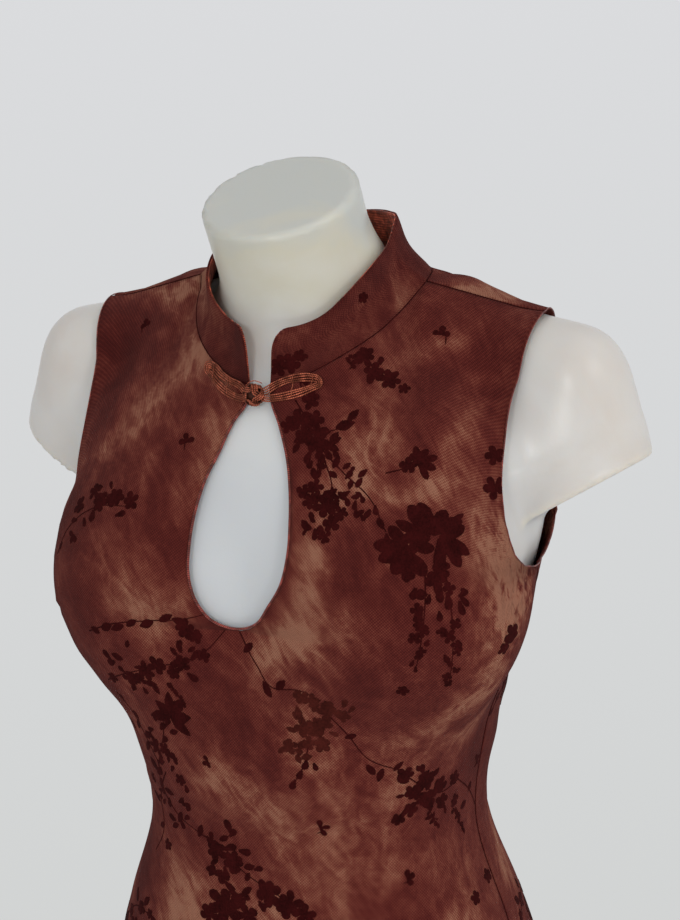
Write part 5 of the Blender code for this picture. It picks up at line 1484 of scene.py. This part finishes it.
def form_body(made_material):
    """The whole limbless body: the rough skin evened, smoothed and laid on the figure."""
    mesh = rough_form()
    thing = bpy.data.objects.new("form_body", mesh)
    bpy.context.scene.collection.objects.link(thing)
    remesh = thing.modifiers.new("even", "REMESH")
    remesh.mode = "VOXEL"
    remesh.voxel_size = FORM_VOXEL
    depsgraph = bpy.context.evaluated_depsgraph_get()
    even = bpy.data.meshes.new_from_object(thing.evaluated_get(depsgraph))
    thing.modifiers.clear()
    thing.data = even
    work = bmesh.new()
    work.from_mesh(even)
    for step in range(FORM_PASSES):
        if step == FORM_PASSES - 1:
            bmesh.ops.subdivide_edges(work, edges=work.edges, cuts=1, use_grid_fill=True)
        for _ in range(2):
            bmesh.ops.smooth_vert(
                work, verts=work.verts, factor=0.5, use_axis_x=True, use_axis_y=True, use_axis_z=True
            )
        points = lay_on_form(np.array([vertex.co for vertex in work.verts]))
        for vertex, point in zip(work.verts, points):
            vertex.co = point
    bmesh.ops.recalc_face_normals(work, faces=work.faces)
    work.to_mesh(even)
    work.free()
    points = np.array([vertex.co for vertex in even.vertices])
    # how near each point lies to the arm rims, for the painted edge highlight there
    off_rim = np.hypot(ellipsoid(mirrored(points), ARM_CENTRE, ARM_RADII), arm_cut_height(points))
    rim = even.attributes.new("rim", "FLOAT", "POINT")
    rim.data.foreach_set("value", np.exp(-(off_rim / RIM_HIGHLIGHT_SPREAD) ** 2).astype(np.float32))
    even.materials.clear()
    even.materials.append(made_material)
    even.shade_smooth()
    return thing


def lay_on_form(points):
    """Moves points onto the form as seen."""
    for _ in range(FORM_LAYING_PASSES):
        slope = slope_of(rounded_figure, points)
        steepness = np.maximum(np.sum(slope ** 2, axis=1), 1e-6)
        move = slope * (rounded_figure(points) / steepness)[:, None]
        size = np.linalg.norm(move, axis=1)
        points = points - move * np.minimum(1, FORM_MOVE / np.maximum(size, 1e-9))[:, None]
    return points


# --- Materials ----------------------------------------------------------------------------

def new_material(name, **values):
    """A material, its node tree and its shader, with the shader's own values set."""
    made = bpy.data.materials.new(name)
    made.use_nodes = True
    shader = made.node_tree.nodes["Principled BSDF"]
    for socket, value in values.items():
        shader.inputs[socket.replace("_", " ")].default_value = value
    return made, made.node_tree, shader


def node(tree, kind, values=(), **settings):
    """A node; values are its inputs, and a socket among them is linked."""
    made = tree.nodes.new("ShaderNode" + kind)
    for setting, value in settings.items():
        setattr(made, setting, value)
    for place, value in dict(values).items():
        if isinstance(value, bpy.types.NodeSocket):
            tree.links.new(value, made.inputs[place])
        else:
            made.inputs[place].default_value = value
    return made


def maths(tree, operation, *values):
    return node(tree, "Math", dict(enumerate(values)), operation=operation).outputs[0]


def place_of(tree):
    return node(tree, "TexCoord").outputs["Object"]


def value_of(tree, name):
    """A value that the mesh's points carry."""
    return node(tree, "Attribute", attribute_name=name).outputs["Fac"]


def moved(tree, value, low, high, new_low=0.0, new_high=1.0):
    """A value moved from one range into another, and kept inside it."""
    ends = {"From Min": low, "From Max": high, "To Min": new_low, "To Max": new_high}
    return node(tree, "MapRange", {"Value": value, **ends}).outputs[0]


def noise_of(tree, vector, scale, detail=3.0, distortion=0.0, stretch=(1, 1, 1)):
    if stretch != (1, 1, 1):
        vector = node(tree, "Mapping", {"Vector": vector, "Scale": stretch}).outputs[0]
    made = node(tree, "TexNoise", {
        "Vector": vector, "Scale": scale, "Detail": detail, "Distortion": distortion,
    })
    return made.outputs[0]


def ramp_of(tree, factor, stops):
    made = node(tree, "ValToRGB", {"Fac": factor})
    elements = made.color_ramp.elements
    while len(elements) < len(stops):
        elements.new(0.5)
    for element, (place, colour) in zip(elements, stops):
        element.position = place
        element.color = (*colour, 1.0)
    return made.outputs[0]


def mix_of(tree, factor, first, second):
    """A mix of two colours, each a socket or a colour."""
    first, second = (
        (*colour, 1.0) if isinstance(colour, tuple) else colour for colour in (first, second)
    )
    return node(tree, "Mix", {0: factor, 6: first, 7: second}, data_type="RGBA").outputs[2]


def finish_material(tree, shader, colour, height, bump_size, roughness=None):
    """Links a colour, a bump and, where it's given, a roughness to the shader."""
    distance, strength = bump_size
    bump = node(tree, "Bump", {"Height": height, "Distance": distance, "Strength": strength})
    tree.links.new(colour, shader.inputs["Base Color"])
    tree.links.new(bump.outputs[0], shader.inputs["Normal"])
    if roughness is not None:
        tree.links.new(roughness, shader.inputs["Roughness"])


def cloth_parts(tree):
    """The cloth's own measures, across and up."""
    measures = node(tree, "UVMap", uv_map="cloth").outputs[0]
    return node(tree, "SeparateXYZ", {0: measures}).outputs[:2]


def turns_of(tree, measure, pitch):
    """A measure as an angle that goes round once every pitch."""
    return maths(tree, "MULTIPLY", measure, 2 * math.pi / pitch)


def ridges_of(tree, pattern, sharpness):
    """Thin crests, nearly 1, where a noise passes its middle value."""
    off = maths(tree, "ABSOLUTE", maths(tree, "MULTIPLY_ADD", pattern, 2.0, -1.0))
    return maths(tree, "POWER", maths(tree, "SUBTRACT", 1.0, off), sharpness)


def off_middle(tree, pattern, strength):
    """A noise about nought."""
    return maths(tree, "MULTIPLY", maths(tree, "SUBTRACT", pattern, 0.5), strength)


def net_material(name, ribbed=False):
    """Soft net with a dotted diagonal weave, dyed in blurred patches, and a painted highlight along the
    crease ridges where it is crumpled.
    """
    made, tree, shader = new_material(name, **NET_SHADER)
    place = place_of(tree)
    tilted = node(tree, "Mapping", {"Vector": place, "Rotation": STREAK_TILT}).outputs[0]
    folds = ridges_of(tree, noise_of(tree, place, *FOLD_NOISE), FOLD_SHARPNESS)
    veins = ridges_of(tree, noise_of(tree, tilted, *VEIN_NOISE), VEIN_SHARPNESS)

    broken = moved(tree, noise_of(tree, tilted, *STREAK_NOISE), *STREAK_RANGES)
    patchy = maths(tree, "ADD", broken, off_middle(tree, veins, VEIN_SHARE))
    level = maths(tree, "MULTIPLY", value_of(tree, "dye"), patchy)

    crumpled = value_of(tree, "crumple")
    blotches = off_middle(tree, noise_of(tree, place, *BLOTCH_NOISE), BLOTCH_SHARE)
    # painted highlight along the crease ridges
    blotches = maths(tree, "ADD", blotches, maths(tree, "MULTIPLY", folds, FOLD_HIGHLIGHT_SHARE))
    level = maths(tree, "ADD", level, maths(tree, "MULTIPLY", blotches, crumpled))
    for share, *pattern in NET_MOTTLES:
        part = noise_of(tree, place, *pattern)
        level = maths(tree, "ADD", level, maths(tree, "MULTIPLY_ADD", part, share, -share / 2))

    across, up = cloth_parts(tree)
    waves = [maths(tree, "SINE", turns_of(tree, measure, NET_PITCH)) for measure in (across, up)]
    weave = maths(tree, "MULTIPLY", *waves)
    level = maths(tree, "ADD", level, maths(tree, "MULTIPLY", weave, DOT_SHARE))
    folds = maths(tree, "MULTIPLY", maths(tree, "MULTIPLY", folds, crumpled), FOLD_HEIGHT)
    height = maths(tree, "ADD", weave, folds)
    if ribbed:
        height = maths(tree, "SINE", turns_of(tree, up, RIB_PITCH))
    finish_material(tree, shader, ramp_of(tree, level, NET_RAMP), height, NET_BUMP)
    return made


def flock_material(name, colour):
    made, tree, shader = new_material(name, **FLOCK_SHADER)
    place = place_of(tree)
    nap = noise_of(tree, place, 900)
    patches = noise_of(tree, place, 120, 2.0)
    mixed = maths(tree, "ADD", maths(tree, "MULTIPLY", nap, 0.5), maths(tree, "MULTIPLY", patches, 0.5))
    low, high = (tuple(part * share for part in colour) for share in FLOCK_SHARES)
    colours = ramp_of(tree, mixed, ((0.30, low), (0.70, high)))
    finish_material(tree, shader, colours, nap, FLOCK_BUMP)
    return made


def satin_material(name, colour, roughness, pitch, sheen, specular):
    """Cord or satin with fine turns across its length, painted lighter on the turns and darker between
    them, and darker still where painted shade is asked for.
    """
    made, tree, shader = new_material(
        name, Roughness=roughness, Sheen_Weight=sheen, Specular_IOR_Level=specular
    )
    across, up = cloth_parts(tree)
    turned = maths(tree, "ADD", turns_of(tree, across, 1), turns_of(tree, up, pitch))
    wave = maths(tree, "SINE", turned)
    level = maths(tree, "MULTIPLY_ADD", wave, 0.16, noise_of(tree, place_of(tree), 260))
    # painted shade and highlight of the turns, and the colour of the painted shade
    dark = tuple(part * SATIN_TURN_SHADE for part in colour)
    light = tuple(min(1.0, part * SATIN_TURN_HIGHLIGHT + 0.03) for part in colour)
    deep = tuple(part * SATIN_SHADE_COLOUR_SHARE for part in colour)
    ramp = ramp_of(tree, level, ((0.25, dark), (0.52, colour), (0.78, light)))
    # how far the painted shade is laid on, from the mesh's shade value
    shade = maths(tree, "MULTIPLY", value_of(tree, "shade"), SATIN_SHADE)
    finish_material(tree, shader, mix_of(tree, shade, ramp, deep), wave, SATIN_BUMP)
    return made


def form_material():
    """Frosted plastic, a little yellow at the neck and pink at the arms, with a painted edge highlight
    along the arm rims.
    """
    made, tree, shader = new_material("form_plastic", **PLASTIC_SHADER)
    place = place_of(tree)
    outwards, _, upwards = node(tree, "SeparateXYZ", {0: place}).outputs
    clouds = noise_of(tree, place, 16, 4.0, 0.6)
    level = maths(tree, "ADD", moved(tree, upwards, *NECK_TINT), off_middle(tree, clouds, 0.5))
    arm = moved(tree, maths(tree, "ABSOLUTE", outwards), *ARM_TINT)
    mixed = mix_of(tree, arm, ramp_of(tree, level, PLASTIC_RAMP), ramp_of(tree, clouds, BLUSH_RAMP))
    # painted edge highlight, lighter and yellower, along the arm rims
    rim = maths(tree, "MULTIPLY", value_of(tree, "rim"), RIM_HIGHLIGHT_SHARE)
    lined = mix_of(tree, rim, mixed, RIM_HIGHLIGHT_COLOUR)
    finish_material(tree, shader, lined, noise_of(tree, place, 420), PLASTIC_BUMP)
    return made


def steel_material():
    made, tree, shader = new_material("pole_steel", Metallic=1.0)
    brushed = noise_of(tree, place_of(tree), 60, 4.0, 0.0, (30.0, 30.0, 0.6))
    colour = ramp_of(tree, brushed, STEEL_RAMP)
    roughness = moved(tree, brushed, 0.0, 1.0, 0.24, 0.42)
    finish_material(tree, shader, colour, brushed, STEEL_BUMP, roughness)
    return made


def paint_material():
    made, tree, shader = new_material("base_paint", Metallic=0.0, Coat_Weight=0.25)
    place = place_of(tree)
    wear = noise_of(tree, place, 30, 4.0)
    colour = ramp_of(tree, wear, PAINT_RAMP)
    roughness = moved(tree, wear, 0.0, 1.0, 0.38, 0.56)
    finish_material(tree, shader, colour, noise_of(tree, place, 900, 2.0), PAINT_BUMP, roughness)
    return made


# --- Stage --------------------------------------------------------------------------------

def floor_piece():
    """A wide pale floor with a soft rim."""
    points = [(0.0, 0.0, FLOOR_TOP)]
    for radius, drop in FLOOR_RINGS:
        for i in range(FLOOR_SIDES):
            turn = 2 * math.pi * i / FLOOR_SIDES
            points.append((radius * math.cos(turn), radius * math.sin(turn), FLOOR_TOP - drop))
    ahead = [(i + 1) % FLOOR_SIDES for i in range(FLOOR_SIDES)]
    faces = [(0, 1 + i, 1 + j) for i, j in enumerate(ahead)]
    for ring in range(len(FLOOR_RINGS) - 1):
        start = 1 + ring * FLOOR_SIDES
        for i, j in enumerate(ahead):
            a, b = start + i, start + j
            faces.append((a, a + FLOOR_SIDES, b + FLOOR_SIDES, b))
    made, tree, shader = new_material("floor_paint", Roughness=0.9)
    colour = ramp_of(tree, noise_of(tree, place_of(tree), 3), FLOOR_RAMP)
    tree.links.new(colour, shader.inputs["Base Color"])
    thing = new_piece("floor", points, faces, made)


def world_light():
    """A pale grey room, lightest in the middle of its height, and darker on one side."""
    world = bpy.data.worlds.new("room")
    world.use_nodes = True
    tree = world.node_tree
    background = tree.nodes["Background"]
    place = node(tree, "TexCoord").outputs["Generated"]
    upwards = node(tree, "SeparateXYZ", {0: place}).outputs[2]
    colour = ramp_of(tree, moved(tree, upwards, ROOM_FROM, ROOM_TO), ROOM_RAMP)
    aside = node(tree, "VectorMath", {0: place, 1: DIM_SIDE}, operation="DOT_PRODUCT")
    dimmer = moved(tree, aside.outputs["Value"], DIM_FROM, 1.0, 1.0, DIM_SIDE_SHARE)
    dimmed = node(tree, "VectorMath", {0: colour, "Scale": dimmer}, operation="SCALE").outputs[0]
    tree.links.new(dimmed, background.inputs["Color"])
    background.inputs["Strength"].default_value = ROOM_STRENGTH
    bpy.context.scene.world = world


def area_light(name, place, target, size, power, colour):
    data = bpy.data.lights.new(name, "AREA")
    data.shape = "DISK"
    data.size = size
    data.energy = power
    data.color = colour
    thing = bpy.data.objects.new(name, data)
    bpy.context.scene.collection.objects.link(thing)
    thing.location = place
    way = Vector(target) - Vector(place)
    thing.rotation_euler = way.to_track_quat("-Z", "Y").to_euler()


def camera():
    data = bpy.data.cameras.new("camera")
    thing = bpy.data.objects.new("camera", data)
    bpy.context.scene.collection.objects.link(thing)
    turn, tilt, roll = CAMERA_TURN, CAMERA_TILT, CAMERA_ROLL
    back = Vector((
        math.sin(turn) * math.cos(tilt), -math.cos(turn) * math.cos(tilt), math.sin(tilt)
    ))
    right = Vector((math.cos(turn), math.sin(turn), 0.0))
    up = back.cross(right)
    rolled_right = right * math.cos(roll) + up * math.sin(roll)
    rolled_up = up * math.cos(roll) - right * math.sin(roll)
    turned = Matrix((rolled_right, rolled_up, back)).transposed().to_4x4()
    thing.matrix_world = Matrix.Translation(Vector(CAMERA_TARGET) + back * CAMERA_DISTANCE) @ turned
    data.sensor_width = 36.0
    data.lens = CAMERA_LENS
    data.clip_end = 50.0
    bpy.context.scene.camera = thing


# --- Everything in place ------------------------------------------------------------------

camera()
net = net_material("dress_net")
rust = satin_material("facing_satin", *RUST_SATIN)
binding_cord = satin_material("binding_satin", *BINDING_SATIN)
copper = satin_material("copper_cord", *COPPER_SATIN)
flock_pile = flock_material("flock_pile", FLOCK_COLOUR)
faded_pile = flock_material("faded_pile", FADED_FLOCK_COLOUR)

front, front_tree = panel("dress_front", -1, net)
back, back_tree = panel("dress_back", 1, net)
collar, collar_tree = collar_layer("dress_collar", 0.0, SHELL, net_material("collar_net", True))
facing, _ = collar_layer("collar_lining", SHELL + LINING_GAP, LINING_SHELL, rust)
binding = keyhole_binding(binding_cord)
panel_trees = {-1: front_tree, 1: back_tree}
# the seam cords take the dark flock colour: stitching, and painted shadow of the seams' grooves
seams = seam_lines(panel_trees, flock_pile)
rolls = armhole_rolls(panel_trees, binding_cord)
cloths = [front_tree, collar_tree]
frog_left = frog_side("frog_left", FROG_LOOP_LEFT, cloths, FROG_WRAPS[:2], copper)
frog_right = frog_side("frog_right", FROG_LOOP_RIGHT, cloths, FROG_WRAPS[2:], copper)
ball = frog_ball(copper)
marks_front = flock_piece("flock_front", front_tree, front_motifs, flock_pile)
marks_faded = flock_piece("flock_faded", front_tree, faded_motifs, faded_pile)
marks_back = flock_piece("flock_back", back_tree, back_motifs, flock_pile)
marks_collar = flock_piece("flock_collar", collar_tree, collar_motifs, flock_pile)
body = form_body(form_material())

for piece, slot_name, nodes in (
    (front, "dress_net", ("front_panel",)),
    (back, "dress_net", ("back_panel",)),
    (collar, "dress_net", ("collar",)),
    (facing, "rust_satin", ("collar_facing",)),
    (binding, "rust_satin", ("keyhole_binding",)),
    (seams, "dress_net", ()),
    (rolls, "dress_net", ()),
    (frog_left, "copper_cord", ("frog_loop_left",)),
    (frog_right, "copper_cord", ("frog_loop_right",)),
    (ball, "copper_cord", ("frog_knot",)),
    (marks_front, "dress_net", ()),
    (marks_faded, "dress_net", ()),
    (marks_back, "dress_net", ()),
    (marks_collar, "dress_net", ()),
    (body, "form_plastic", ("form_torso",)),
):
    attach(piece, "root")
    if nodes:
        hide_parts(*nodes)

for name, made in (("form_pole", steel_material()), ("form_base", paint_material())):
    for material_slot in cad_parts[name].material_slots:
        material_slot.material = made

floor_piece()
world_light()
for light in LIGHTS:
    area_light(*light)
bpy.context.scene.view_settings.view_transform = "Standard"
